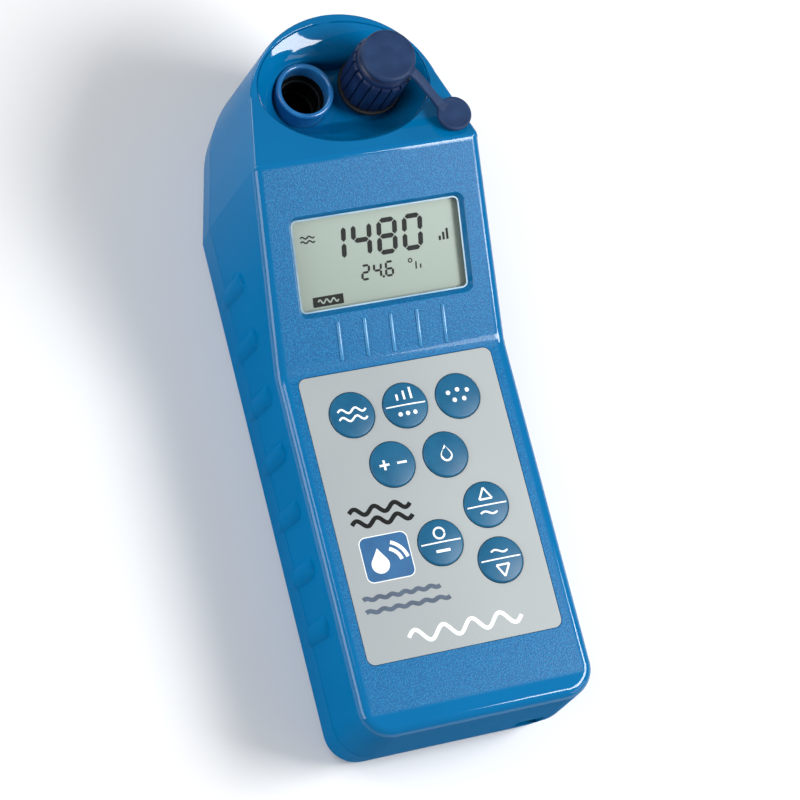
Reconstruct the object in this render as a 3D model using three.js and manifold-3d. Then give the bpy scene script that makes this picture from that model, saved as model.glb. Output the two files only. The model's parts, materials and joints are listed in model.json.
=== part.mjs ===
// Handheld digital water tester, lying on its back: X to its right, Y towards the sample head, Z out of
// the keypad. Millimetres. The origin is the middle of the footprint on the table.
import * as THREE from 'three';
import { mergeVertices } from 'three/addons/utils/BufferGeometryUtils.js';
import Module from 'manifold-3d';

const wasm = await Module();
wasm.setup();

// Case
const HALF_WIDTH = 34;          // widest, at the parting plane
const HALF_LENGTH = 98;
const PARTING_Z = 17;
const FACE_Z = 41.5;            // keypad face
const BEND_Y = 3;               // where the display slope begins
const RIDGE_Y = 54.5;
const RIDGE_Z = 64;
const LAND_FALL = 0.344;        // slope of the land behind the ridge
const LAND_RUN = 16;            // length of that slope, before the land levels off
const LAND_EASE = 5;            // half of the stretch in which it levels off
const HEAD_RADIUS = 29.4;
const HEAD_CENTRE_Y = HALF_LENGTH - HEAD_RADIUS;
const CORNER_RADIUS = 10;
const FRONT_DRAFT = 0.045;      // inset per millimetre of height, front case
const REAR_DRAFT = 0.075;
const END_DRAFT = 0.07;         // the keypad end leans in more
const WALL = 2.5;
const FRONT_ROUND = 2.4;
const HEAD_ROUND = 0.8;         // the rim round the sample bowl
const REAR_ROUND = 3;
const SEAM = 0.55;              // half of the gap that the gasket fills
const GAP = 0.3;                // between pieces that touch

// Raised grip bars along both sides
const GRIP_COUNT = 7;
const GRIP_FIRST_Y = 33.6;
const GRIP_PITCH = 16.1;
const GRIP_RADIUS = 4.6;
// Height above the wall at each level Z, lowest first
const GRIP_STATIONS = [[4, -0.3], [7, 0.05], [12, 0.4], [17, 0.65], [30, 0.9], [32.4, 0.75], [33.6, -0.3]];

// Display, in the slope's own plane: across and up from the bend
const SLOPE = Math.atan2(RIDGE_Z - FACE_Z, RIDGE_Y - BEND_Y);
const WINDOW_WIDTH = 49;
const WINDOW_HEIGHT = 27.2;
const WINDOW_MIDDLE = 27.9;
const RIB_COUNT = 5;
const RIB_PITCH = 7.5;

// Keypad
const LABEL_WIDTH = 55.7;
const LABEL_HEIGHT = 79.4;
const LABEL_Y = -37.9;
const LABEL_THICKNESS = 0.5;
const LABEL_RECESS = 0.8;
const KEY_RADIUS = 6.3;
const KEY_PITCH = 15.15;
const KEY_HOLE = KEY_RADIUS + 0.35;
const KEY_TRAVEL = 0.8;
const KEY_ROWS = [-10.5, -25.7, -41.2, -48.9, -56.6];
const KEYS = {
  key_conductivity: [-KEY_PITCH, KEY_ROWS[0]],
  key_mineral_salt: [0, KEY_ROWS[0]],
  key_solids: [KEY_PITCH, KEY_ROWS[0]],
  key_redox: [-KEY_PITCH / 2, KEY_ROWS[1]],
  key_acidity: [KEY_PITCH / 2, KEY_ROWS[1]],
  key_up_store: [KEY_PITCH, KEY_ROWS[2]],
  key_calibrate: [0, KEY_ROWS[3]],
  key_down_recall: [KEY_PITCH, KEY_ROWS[4]],
};

// Sample head
const BOWL_Y = 76;
const BOWL_HALF_X = 24;
const BOWL_HALF_Y = 17.8;
const POCKET_Y = 78.2;
const POCKET_Z = 46.5;
const POCKET_RADIUS = 10.2;
const TUBE_X = 9.5;
const TUBE_Y = 77;
const CUP_RADIUS = 8;
const CUP_BORE = 6.5;
const CUP_RIM_Z = 54.3;
const WELL_RADIUS = 6.8;
const WELL_BORE = 5.6;
const WELL_RIM_Z = 62;
const CELL_FLANGE = 9.2;
const CAP_RADIUS = 8.4;
const CAP_BASE_Z = 52.6;
const CAP_SHOULDER_Z = 67.6;
const CAP_BORE_Z = 68.8;
const CAP_CROWN_Z = 70.6;
const CAP_TOP_Z = 72.7;
const CAP_FLUTES = 16;
const TAB_REACH = 23.2;
const TAB_DISC = 4.8;
const TAB_Z = 65.2;
const TAB_THICKNESS = 1.6;
const STRAP_WIDTH = 2.6;

// Inside
const BOARD_Z = 30;
const BOARD_THICKNESS = 1.6;
const BOARD_TOP = BOARD_Z + BOARD_THICKNESS;
const MAT_Z = 33.2;
const MAT_THICKNESS = 1.2;
const POST_RADIUS = 3.8;
const POSTS = [[26, -87], [-26, -87], [27, 52], [-27, 52]];
const BOARD_POSTS = [[24, -4], [-24, -4], [24, -74], [-24, -74]];
const SCREW_HEAD = 2.9;
const SCREW_SHANK = 1.5;
const SCREW_SEAT_Z = 8;

const tester = new THREE.Group();

const finish = (color, roughness, metalness = 0) => (
  new THREE.MeshStandardMaterial({ color, roughness, metalness }));
const blue = finish(0x0171a5, 0.32);
const deepBlue = finish(0x1b5f96, 0.3);
const navy = finish(0x2a3f66, 0.5);
const keyBlue = finish(0x276286, 0.45);
const silver = finish(0xb0b7bb, 0.5);
const lcdGreen = finish(0xc8d6cd, 0.25);
const clear = finish(0xe8f0ee, 0.05);
const black = finish(0x1a1a1c, 0.6);
const steel = finish(0xb9bcc0, 0.3, 1);
const boardGreen = finish(0x1f6b3a, 0.5);
const white = finish(0xe6e6e2, 0.5);
const rubber = finish(0x24262a, 0.85);

function add(name, geometry, material) {
  const mesh = new THREE.Mesh(geometry, material);
  mesh.name = name;
  tester.add(mesh);
  return mesh;
}

// --- solids -----------------------------------------------------------------------------------------------

function solid(geometry) {
  const bare = geometry.index ? geometry.clone() : geometry;
  bare.deleteAttribute('normal');
  bare.deleteAttribute('uv');
  const merged = mergeVertices(bare, 1e-4);
  return new wasm.Manifold(new wasm.Mesh({
    numProp: 3,
    vertProperties: new Float32Array(merged.attributes.position.array),
    triVerts: new Uint32Array(merged.index.array),
  }));
}

function geometryOf(manifold) {
  const mesh = manifold.getMesh();
  const geometry = new THREE.BufferGeometry();
  geometry.setAttribute('position', new THREE.BufferAttribute(mesh.vertProperties, 3));
  geometry.setIndex(new THREE.BufferAttribute(mesh.triVerts, 1));
  geometry.computeVertexNormals();
  return geometry;
}

function box(x0, x1, y0, y1, z0, z1) {
  const geometry = new THREE.BoxGeometry(x1 - x0, y1 - y0, z1 - z0);
  return geometry.translate((x0 + x1) / 2, (y0 + y1) / 2, (z0 + z1) / 2);
}

// An upright cylinder
function rod(x, y, radius, z0, z1, sides = 24) {
  const geometry = new THREE.CylinderGeometry(radius, radius, z1 - z0, sides);
  return geometry.rotateX(Math.PI / 2).translate(x, y, (z0 + z1) / 2);
}

// A shape turned about an upright axis, from [radius, z] points
function turned(x, y, profile, sides = 24) {
  const points = profile.map(([r, z]) => new THREE.Vector2(r, z));
  return new THREE.LatheGeometry(points, sides).rotateX(Math.PI / 2).translate(x, y, 0);
}

function roundedRectangle(width, height, radius) {
  const shape = new THREE.Shape();
  const [x, y] = [width / 2 - radius, height / 2 - radius];
  shape.absarc(x, y, radius, 0, Math.PI / 2);
  shape.absarc(-x, y, radius, Math.PI / 2, Math.PI);
  shape.absarc(-x, -y, radius, Math.PI, 1.5 * Math.PI);
  shape.absarc(x, -y, radius, 1.5 * Math.PI, 2 * Math.PI);
  return shape;
}

function plate(shape, thickness, curveSegments = 5) {
  return new THREE.ExtrudeGeometry(shape, { depth: thickness, bevelEnabled: false, curveSegments });
}

// Moves a geometry made in the display's plane (across, up the slope, out of the face) onto the case
const displayFrame = new THREE.Matrix4().makeRotationX(SLOPE).setPosition(0, BEND_Y, FACE_Z);
function ontoSlope(geometry, up, out) {
  return geometry.translate(0, up, out).applyMatrix4(displayFrame);
}

// --- the case's outline and roof --------------------------------------------------------------------------

function land(y) {
  const run = y - RIDGE_Y;
  const past = run - LAND_RUN;
  const saved = past < -LAND_EASE ? 0 : past > LAND_EASE ? past : (past + LAND_EASE) ** 2 / (4 * LAND_EASE);
  return RIDGE_Z - (run - saved) * LAND_FALL;
}

function roof(y) {
  if (y < BEND_Y) return FACE_Z;
  if (y < RIDGE_Y) return FACE_Z + (y - BEND_Y) * Math.tan(SLOPE);
  return land(y);
}

const wallDraft = (z) => (z > PARTING_Z ? (z - PARTING_Z) * FRONT_DRAFT : (PARTING_Z - z) * REAR_DRAFT);

// Right half of the outline at the parting plane, from the keypad end to the head: a corner arc, the
// straight side, the taper behind the ridge and the round head. Each station has a point and a normal.
function outlineStations(cornerSteps = 5, headSteps = 7) {
  const stations = [];
  for (let i = 0; i <= cornerSteps; i++) {
    const angle = -Math.PI / 2 + (Math.PI / 2) * (i / cornerSteps);
    const normal = new THREE.Vector2(Math.cos(angle), Math.sin(angle));
    const centre = new THREE.Vector2(HALF_WIDTH - CORNER_RADIUS, -HALF_LENGTH + CORNER_RADIUS);
    stations.push({ point: centre.addScaledVector(normal, CORNER_RADIUS), normal });
  }
  for (const y of [BEND_Y, RIDGE_Y]) {
    stations.push({ point: new THREE.Vector2(HALF_WIDTH, y), normal: new THREE.Vector2(1, 0) });
  }
  const reach = Math.hypot(HALF_WIDTH, HEAD_CENTRE_Y - RIDGE_Y);
  const start = Math.acos(HEAD_RADIUS / reach) - Math.atan2(HEAD_CENTRE_Y - RIDGE_Y, HALF_WIDTH);
  for (let i = 0; i < headSteps; i++) {
    const angle = start + (Math.PI / 2 - start) * (i / (headSteps - 0.5));
    const normal = new THREE.Vector2(Math.cos(angle), Math.sin(angle));
    const centre = new THREE.Vector2(0, HEAD_CENTRE_Y);
    stations.push({ point: centre.addScaledVector(normal, HEAD_RADIUS), normal });
  }
  return stations;
}

// Half a ring of the case: the outline at height zAt(y), moved in by the draft and by insetAt(y)
function caseRing(zAt, insetAt) {
  return outlineStations().map(({ point, normal }) => {
    const z = zAt(point.y);
    const atEnd = THREE.MathUtils.clamp((-HALF_LENGTH + CORNER_RADIUS - point.y) / CORNER_RADIUS, 0, 1);
    const lean = Math.max(z - PARTING_Z, 0) * (END_DRAFT - FRONT_DRAFT) * atEnd;
    const inward = wallDraft(z) + insetAt(point.y);
    return new THREE.Vector3(point.x - normal.x * inward, point.y - normal.y * inward + lean, z);
  });
}

// A closed mesh through mirrored half rings, lowest first, with strips across between the two halves
function loft(halfRings) {
  const count = halfRings[0].length;
  const around = 2 * count;
  const rings = halfRings.map((half) => [
    ...half, ...half.map((p) => new THREE.Vector3(-p.x, p.y, p.z)).reverse(),
  ]);
  const positions = rings.flat().flatMap((p) => [p.x, p.y, p.z]);
  const index = [];
  for (let k = 0; k + 1 < rings.length; k++) {
    for (let i = 0; i < around; i++) {
      const [a, b] = [k * around + i, k * around + ((i + 1) % around)];
      index.push(a, b, b + around, a, b + around, a + around);
    }
  }
  const top = (rings.length - 1) * around;
  for (let i = 0; i + 1 < count; i++) {
    const [right, left] = [i, around - 1 - i];
    index.push(right, left, right + 1, right + 1, left, left - 1);
    index.push(top + right, top + right + 1, top + left, top + right + 1, top + left - 1, top + left);
  }
  const geometry = new THREE.BufferGeometry();
  geometry.setAttribute('position', new THREE.Float32BufferAttribute(positions, 3));
  geometry.setIndex(index);
  return geometry;
}

// Rings of a rounded edge that ends at surface(y), curving in as it climbs (or drops, with side -1)
function roundedRings(surface, radiusAt, side, steps = 3) {
  return Array.from({ length: steps + 1 }, (_, i) => {
    const angle = (Math.PI / 2) * (i / steps);
    const zAt = (y) => surface(y) - side * radiusAt(y) * (1 - Math.sin(angle));
    return caseRing(zAt, (y) => radiusAt(y) * (1 - Math.cos(angle)));
  });
}

const level = (z) => () => z;
const frontRound = (y) => (y < RIDGE_Y ? FRONT_ROUND : HEAD_ROUND);
const allOf = (pieces) => pieces.reduce((sum, piece) => sum.add(piece));

// --- the sample bowl --------------------------------------------------------------------------------------

// The bowl runs from an oval rim on the land down to an obround pocket with a flat floor
function bowlSolid(grow, floorZ, above) {
  const steps = 36;
  const rim = [];
  const floor = [];
  for (let i = 0; i < steps; i++) {
    const angle = (2 * Math.PI * i) / steps;
    const [c, s] = [Math.cos(angle), Math.sin(angle)];
    const y = BOWL_Y + (BOWL_HALF_Y + grow) * s;
    rim.push(new THREE.Vector3((BOWL_HALF_X + grow) * c, y, land(y)));
    floor.push(new THREE.Vector3(
      TUBE_X * Math.tanh(4 * c) + (POCKET_RADIUS + grow) * c, POCKET_Y + (POCKET_RADIUS + grow) * s, floorZ));
  }
  const mouth = rim.map((p) => new THREE.Vector3(p.x, p.y, p.z + above));
  const centres = [new THREE.Vector3(0, POCKET_Y, floorZ), new THREE.Vector3(0, BOWL_Y, RIDGE_Z + above)];
  const positions = [...floor, ...rim, ...mouth, ...centres].flatMap((p) => [p.x, p.y, p.z]);
  const index = [];
  for (let i = 0; i < steps; i++) {
    const j = (i + 1) % steps;
    for (const k of [0, steps]) index.push(k + i, k + j, k + j + steps, k + i, k + j + steps, k + i + steps);
    index.push(3 * steps, j, i, 3 * steps + 1, 2 * steps + i, 2 * steps + j);
  }
  const geometry = new THREE.BufferGeometry();
  geometry.setAttribute('position', new THREE.Float32BufferAttribute(positions, 3));
  geometry.setIndex(index);
  return solid(geometry);
}

// --- shells -----------------------------------------------------------------------------------------------

// One grip bar: discs stacked through the wall, each standing out of it by its station's height
function gripBar(side, y) {
  const sides = 28;
  const discs = GRIP_STATIONS.map(([z, height]) => {
    const x = side * (HALF_WIDTH - wallDraft(z) - GRIP_RADIUS + height);
    return Array.from({ length: sides }, (_, i) => {
      const angle = (2 * Math.PI * i) / sides;
      return [x + GRIP_RADIUS * Math.cos(angle), y + GRIP_RADIUS * Math.sin(angle), z];
    });
  });
  return discs.slice(1).map((disc, i) => wasm.Manifold.hull([...discs[i], ...disc]));
}

function gripBars() {
  const places = Array.from({ length: GRIP_COUNT }, (_, i) => GRIP_FIRST_Y - i * GRIP_PITCH);
  return allOf(places.flatMap((y) => [...gripBar(-1, y), ...gripBar(1, y)]));
}

// A finger-wide notch in the keypad end, crossed by the lanyard pin
function lanyardNotch() {
  return solid(box(15.5, 23.5, -HALF_LENGTH - 1, -HALF_LENGTH + 4.5, PARTING_Z - 4, PARTING_Z + 4));
}

function frontCase() {
  const bottom = PARTING_Z + SEAM;
  const form = solid(loft([caseRing(level(bottom), level(0)), ...roundedRings(roof, frontRound, 1)]));
  const outside = form.add(gripBars().subtract(solid(box(-40, 40, -100, 100, 0, bottom))));
  const ceiling = (y) => roof(y) - WALL;
  const hollow = solid(loft([caseRing(level(bottom - 1), level(WALL)), caseRing(ceiling, level(WALL))]));
  const bowlWall = bowlSolid(1.8, POCKET_Z - 2, 20);
  const posts = allOf([
    ...POSTS.map(([x, y]) => solid(rod(x, y, POST_RADIUS, bottom, roof(y) - 1, 16))),
    ...BOARD_POSTS.map(([x, y]) => solid(rod(x, y, 2.6, BOARD_TOP + GAP, FACE_Z - 1.5, 12))),
    solid(box(13.5, 25.5, -HALF_LENGTH + 1, -HALF_LENGTH + 6.5, bottom, PARTING_Z + 6)),
  ]);
  let shell = outside.subtract(hollow).add(posts.intersect(outside)).add(bowlWall.intersect(outside));
  for (let i = 0; i < RIB_COUNT; i++) {
    const x = (i - (RIB_COUNT - 1) / 2) * RIB_PITCH;
    shell = shell.add(solid(ontoSlope(box(x - 0.45, x + 0.45, -5.4, 5.4, -0.6, 0.5), 6.9, 0)));
  }
  const opening = ontoSlope(plate(roundedRectangle(WINDOW_WIDTH, WINDOW_HEIGHT, 2.5), 8), WINDOW_MIDDLE, -4);
  const seat = ontoSlope(
    plate(roundedRectangle(WINDOW_WIDTH + 4, WINDOW_HEIGHT + 4, 3), 6), WINDOW_MIDDLE, -7.5);
  const recess = plate(roundedRectangle(LABEL_WIDTH, LABEL_HEIGHT, 2.4), 5)
    .translate(0, LABEL_Y, FACE_Z - LABEL_RECESS);
  const cuts = [
    bowlSolid(0, POCKET_Z, 25), lanyardNotch(), solid(opening), solid(seat), solid(recess),
    solid(rod(-TUBE_X, TUBE_Y, CUP_RADIUS + GAP, 30, POCKET_Z + 1)),
    solid(rod(TUBE_X, TUBE_Y, WELL_RADIUS + GAP, 30, POCKET_Z + 1)),
    ...Object.values(KEYS).map(([x, y]) => solid(rod(x, y, KEY_HOLE, BOARD_TOP, FACE_Z + 1))),
    ...POSTS.map(([x, y]) => solid(rod(x, y, SCREW_SHANK + GAP, bottom - 1, 32, 12))),
    ...BOARD_POSTS.map(([x, y]) => solid(rod(x, y, 1.3, BOARD_TOP - 1, FACE_Z - 3.2, 10))),
  ];
  return geometryOf(shell.subtract(allOf(cuts)));
}

function rearCover() {
  const top = PARTING_Z - SEAM;
  const back = roundedRings(level(0), level(REAR_ROUND), -1).reverse();
  const form = solid(loft([...back, caseRing(level(top), level(0))]));
  const outside = form.add(gripBars().subtract(solid(box(-40, 40, -100, 100, top, RIDGE_Z))));
  const hollow = solid(loft([caseRing(level(WALL), level(WALL + 0.6)), caseRing(level(top + 1), level(WALL))]));
  const posts = allOf([
    ...POSTS.map(([x, y]) => solid(rod(x, y, POST_RADIUS + 1, 1, top, 16))),
    solid(box(13.5, 25.5, -HALF_LENGTH + 1, -HALF_LENGTH + 6.5, 1, top)),
  ]);
  const cuts = [
    lanyardNotch(),
    ...POSTS.map(([x, y]) => solid(rod(x, y, SCREW_HEAD + GAP + 0.1, -1, SCREW_SEAT_Z, 16))),
    ...POSTS.map(([x, y]) => solid(rod(x, y, SCREW_SHANK + GAP, -1, top + 1, 12))),
  ];
  return geometryOf(outside.subtract(hollow).add(posts.intersect(outside)).subtract(allOf(cuts)));
}

function gasket() {
  const [low, high] = [PARTING_Z - SEAM + GAP, PARTING_Z + SEAM - GAP];
  const [outer, inner] = [level(1), level(WALL)];
  const outside = solid(loft([caseRing(level(low), outer), caseRing(level(high), outer)]));
  const inside = solid(loft([caseRing(level(low - 1), inner), caseRing(level(high + 1), inner)]));
  const notch = solid(box(13, 26, -HALF_LENGTH - 1, -HALF_LENGTH + 1 + 6, 0, 30));
  const bridge = solid(box(12, 27, -HALF_LENGTH + 7, -HALF_LENGTH + 8.5, low, high));
  const sides = solid(box(12, 13.2, -HALF_LENGTH + 1.3, -HALF_LENGTH + 8.5, low, high))
    .add(solid(box(25.8, 27, -HALF_LENGTH + 3, -HALF_LENGTH + 8.5, low, high)));
  return geometryOf(outside.subtract(inside).subtract(notch).add(bridge).add(sides));
}

function caseScrew([x, y]) {
  return turned(x, y, [
    [0, SCREW_SEAT_Z - 2.6], [SCREW_HEAD - 0.3, SCREW_SEAT_Z - 2.6], [SCREW_HEAD, SCREW_SEAT_Z - 2.3],
    [SCREW_HEAD, SCREW_SEAT_Z - GAP], [SCREW_SHANK, SCREW_SEAT_Z - GAP], [SCREW_SHANK, 28.5], [0, 29.5],
  ], 12);
}

function boardScrew([x, y]) {
  return turned(x, y, [
    [0, BOARD_Z - 1.9], [2, BOARD_Z - 1.9], [2, BOARD_Z - GAP], [1, BOARD_Z - GAP], [1, 37], [0, 37.6],
  ], 10);
}

// --- display and keypad -----------------------------------------------------------------------------------

function slopePlate(width, height, radius, thickness, middle, out) {
  return ontoSlope(plate(roundedRectangle(width, height, radius), thickness, 3), middle, out);
}

function displayHolder() {
  const frame = solid(slopePlate(54, 33, 1, 4, WINDOW_MIDDLE, -9));
  const bed = solid(slopePlate(51.6, 30.4, 1, 3, WINDOW_MIDDLE, -7));
  const light = solid(slopePlate(46, 24, 1, 8, WINDOW_MIDDLE, -10));
  return geometryOf(frame.subtract(bed).subtract(light));
}

function keyLabel() {
  const sheet = plate(roundedRectangle(LABEL_WIDTH - 2 * GAP, LABEL_HEIGHT - 2 * GAP, 2.1), LABEL_THICKNESS);
  const holes = Object.values(KEYS).map(([x, y]) => solid(rod(x, y, KEY_HOLE, 40, 43)));
  return geometryOf(solid(sheet.translate(0, LABEL_Y, FACE_Z - LABEL_THICKNESS)).subtract(allOf(holes)));
}

// A domed cap with a flange that keeps it behind the face, and a stem that pushes the mat
function keyCap([x, y]) {
  const under = FACE_Z - WALL - GAP;
  const flange = KEY_RADIUS + 0.9;
  const foot = MAT_Z + MAT_THICKNESS + KEY_TRAVEL + 0.4;
  return turned(x, y, [
    [0, foot], [2.5, foot], [2.5, under - 1.3], [flange, under - 1.3], [flange, under], [KEY_RADIUS, under],
    [KEY_RADIUS, FACE_Z + 0.25], [KEY_RADIUS - 0.5, FACE_Z + 0.6], [0, FACE_Z + 0.9],
  ], 20);
}

function keyMat() {
  const sheet = solid(box(-24, 24, -68, -2, MAT_Z, MAT_Z + MAT_THICKNESS));
  const posts = BOARD_POSTS.map(([x, y]) => solid(rod(x, y, 3.1, 30, 40, 12)));
  return geometryOf(sheet.subtract(allOf(posts)));
}

function snapDome([x, y]) {
  const foot = BOARD_TOP + GAP;
  return turned(x, y, [[0, foot], [3.4, foot], [3.4, foot + 0.15], [2.4, foot + 0.75], [0, foot + 0.95]], 12);
}

function circuitBoard() {
  const board = solid(box(-27.5, 27.5, -81, 58, BOARD_Z, BOARD_TOP));
  const holes = [
    ...BOARD_POSTS.map(([x, y]) => solid(rod(x, y, 1.3, 28, 34, 10))),
    ...POSTS.map(([x, y]) => solid(rod(x, y, POST_RADIUS + GAP, 28, 34, 16))),
  ];
  return geometryOf(board.subtract(allOf(holes)));
}

// --- sample head pieces -----------------------------------------------------------------------------------

// The cup that the sample is poured into, with a wide body under the pocket floor
function cellCup() {
  return turned(-TUBE_X, TUBE_Y, [
    [0, 28], [CELL_FLANGE, 28], [CELL_FLANGE, POCKET_Z - 2 - GAP], [CUP_RADIUS, POCKET_Z - 2 - GAP],
    [CUP_RADIUS, CUP_RIM_Z - 0.5], [CUP_RADIUS - 0.4, CUP_RIM_Z], [CUP_BORE + 0.3, CUP_RIM_Z],
    [CUP_BORE, CUP_RIM_Z - 0.4], [CUP_BORE, 31], [0, 31],
  ], 28);
}

function sensorWell() {
  return turned(TUBE_X, TUBE_Y, [
    [WELL_BORE, 24], [CELL_FLANGE, 24], [CELL_FLANGE, POCKET_Z - 2 - GAP], [WELL_RADIUS, POCKET_Z - 2 - GAP],
    [WELL_RADIUS, WELL_RIM_Z - 0.4], [WELL_RADIUS - 0.4, WELL_RIM_Z], [WELL_BORE + 0.2, WELL_RIM_Z],
    [WELL_BORE, WELL_RIM_Z - 0.3], [WELL_BORE, 24],
  ], 24);
}

function ring(x, y, inner, outer, z0, z1, sides = 24) {
  return turned(x, y, [[inner, z0], [outer, z0], [outer, z1], [inner, z1], [inner, z0]], sides);
}

function sensorBody() {
  return turned(TUBE_X, TUBE_Y, [
    [0, 25.8], [5.3, 25.8], [5.3, 37.6], [3.9, 37.6], [3.9, 39.4], [5.3, 39.4], [5.3, 44.5], [4.9, 45],
    [0, 45],
  ], 20);
}

function sensorCap() {
  const profile = new THREE.Shape();
  const steps = CAP_FLUTES * 4;
  for (let i = 0; i < steps; i++) {
    const radius = i % 4 === 0 ? CAP_RADIUS - 0.7 : CAP_RADIUS;
    const angle = (2 * Math.PI * i) / steps;
    profile[i ? 'lineTo' : 'moveTo'](radius * Math.cos(angle), radius * Math.sin(angle));
  }
  const skirt = solid(plate(profile, CAP_CROWN_Z - CAP_BASE_Z).translate(TUBE_X, TUBE_Y, CAP_BASE_Z));
  const crown = solid(turned(TUBE_X, TUBE_Y, [
    [0, 50], [CAP_RADIUS + 1, 50], [CAP_RADIUS + 1, CAP_SHOULDER_Z], [CAP_RADIUS - 1.3, CAP_CROWN_Z],
    [0, CAP_CROWN_Z],
  ], 32));
  const bore = solid(rod(TUBE_X, TUBE_Y, WELL_RADIUS + GAP, 50, CAP_BORE_Z, 28));
  return geometryOf(skirt.intersect(crown).subtract(bore));
}

// A round top plate, a narrow strap that slopes down, and the disc that a finger pulls
function capPullTab() {
  const bottom = CAP_CROWN_Z + GAP;
  const top = solid(turned(0, 0, [
    [0, bottom], [7.3, bottom], [7.5, bottom + 0.5], [7.3, CAP_TOP_Z - 0.6], [6.5, CAP_TOP_Z], [0, CAP_TOP_Z],
  ], 28));
  const disc = solid(turned(TAB_REACH, 0, [
    [0, TAB_Z - 0.8], [TAB_DISC - 0.3, TAB_Z - 0.8], [TAB_DISC, TAB_Z - 0.5], [TAB_DISC, TAB_Z + 0.4],
    [TAB_DISC - 0.4, TAB_Z + 0.8], [0, TAB_Z + 0.8],
  ], 20));
  const run = new THREE.SplineCurve([
    new THREE.Vector2(6, 71.9), new THREE.Vector2(9, 71.5), new THREE.Vector2(13, 69.3),
    new THREE.Vector2(16.5, 66.6), new THREE.Vector2(TAB_REACH - 2.5, TAB_Z),
  ]).getPoints(12);
  const side = new THREE.Shape([
    ...run.map((p) => new THREE.Vector2(p.x, -p.y - TAB_THICKNESS / 2)),
    ...run.map((p) => new THREE.Vector2(p.x, -p.y + TAB_THICKNESS / 2)).reverse(),
  ]);
  const strap = solid(plate(side, STRAP_WIDTH).translate(0, 0, -STRAP_WIDTH / 2).rotateX(-Math.PI / 2));
  const tab = geometryOf(allOf([top, disc, strap]));
  return tab.rotateZ(-Math.PI / 4).translate(TUBE_X, TUBE_Y, 0);
}

// --- power ------------------------------------------------------------------------------------------------

const BATTERY = { x: -26, y: -81.5, z: 5, length: 46.5, width: 26.5, height: 17.5 };

function battery() {
  const { x, y, z, length, width, height } = BATTERY;
  const middle = z + height / 2;
  const stud = (offset, radius) => solid(rod(0, 0, radius, 0, 2.2, 12).rotateY(Math.PI / 2)
    .translate(x + length, y + width / 2 + offset, middle));
  const block = solid(box(x, x + length, y, y + width, z, z + height));
  return geometryOf(block.add(stud(-6.4, 2.8)).add(stud(6.4, 3.4)));
}

function batterySnap() {
  const { x, y, z, length, width, height } = BATTERY;
  const face = x + length + 2.2 + GAP;
  return box(face, face + 2.4, y + 0.5, y + width - 0.5, z + 3, z + height - 3);
}

function lead(points) {
  const curve = new THREE.CatmullRomCurve3(points.map((p) => new THREE.Vector3(...p)));
  const section = new THREE.Shape();
  section.absarc(0, 0, 0.6, 0, 2 * Math.PI);
  return new THREE.ExtrudeGeometry(section, { steps: 14, extrudePath: curve, curveSegments: 4 });
}

// --- assembly ---------------------------------------------------------------------------------------------

add('front_case', frontCase(), blue);
add('rear_cover', rearCover(), blue);
add('case_gasket', gasket(), rubber);
POSTS.forEach((place, i) => add(`case_screw_${i + 1}`, caseScrew(place), steel));
add('lanyard_pin', rod(19.5, -HALF_LENGTH + 2.4, 1, PARTING_Z - 3.7, PARTING_Z + 3.7, 12), steel);

add('display_window', slopePlate(52.4, 30.6, 2.7, 1.2, WINDOW_MIDDLE, -3), clear);
add('display_panel', slopePlate(51, 29.8, 0.5, 1.6, WINDOW_MIDDLE, -5.2), lcdGreen);
add('display_holder', displayHolder(), black);
[-12.6, 12.6].forEach((offset, i) => add(
  `display_connector_${i + 1}`, slopePlate(44, 1.2, 0.3, 1.2, WINDOW_MIDDLE + offset, -6.7), rubber));
add('display_board', slopePlate(54, 33, 1, 1.2, WINDOW_MIDDLE, -10.5), boardGreen);
add('ribbon_cable', box(-8, 8, 8, 8.3, BOARD_TOP + GAP, 34.6), white);

add('key_label', keyLabel(), silver);
add('key_mat', keyMat(), rubber);
for (const [name, place] of Object.entries(KEYS)) {
  add(name, keyCap(place), keyBlue);
  add(name.replace('key_', 'dome_'), snapDome(place), steel);
}

add('circuit_board', circuitBoard(), boardGreen);
BOARD_POSTS.forEach((place, i) => add(`board_screw_${i + 1}`, boardScrew(place), steel));
add('processor_chip', box(-6, 6, 16, 28, BOARD_Z - 1.9, BOARD_Z - GAP), black);
add('data_module', box(-20, -8, -38, -20, BOARD_Z - 2.7, BOARD_Z - GAP), white);

add('cell_cup', cellCup(), deepBlue);
add('cell_electrode_upper', ring(-TUBE_X, TUBE_Y, 5.5, CUP_BORE - GAP, 45.6, 46.6), steel);
add('cell_electrode_lower', ring(-TUBE_X, TUBE_Y, 5.5, CUP_BORE - GAP, 37.5, 38.5), steel);
add('cell_thermistor', rod(-TUBE_X, TUBE_Y, 1.2, 31 + GAP, 36, 12), steel);
add('sensor_well', sensorWell(), deepBlue);
add('sensor_collar', ring(TUBE_X, TUBE_Y, WELL_RADIUS + GAP, 8.8, 50.3, 52, 28), rubber);
add('sensor_body', sensorBody(), black);
add('sensor_seal', new THREE.TorusGeometry(4.72, 0.5, 6, 16).translate(TUBE_X, TUBE_Y, 38.5), rubber);
add('sensor_bulb', turned(TUBE_X, TUBE_Y, [
  [0, 45.3], [1.6, 45.3], [1.6, 46.2], [2.7, 47.4], [3, 48.6], [2.6, 50], [1.6, 51], [0, 51.4]], 16), clear);
add('sensor_connector', box(TUBE_X - 5, TUBE_X + 5, TUBE_Y - 5, TUBE_Y + 5, 21, 23.7), black);
add('sensor_cap', sensorCap(), navy);
add('cap_pull_tab', capPullTab(), navy);

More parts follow.
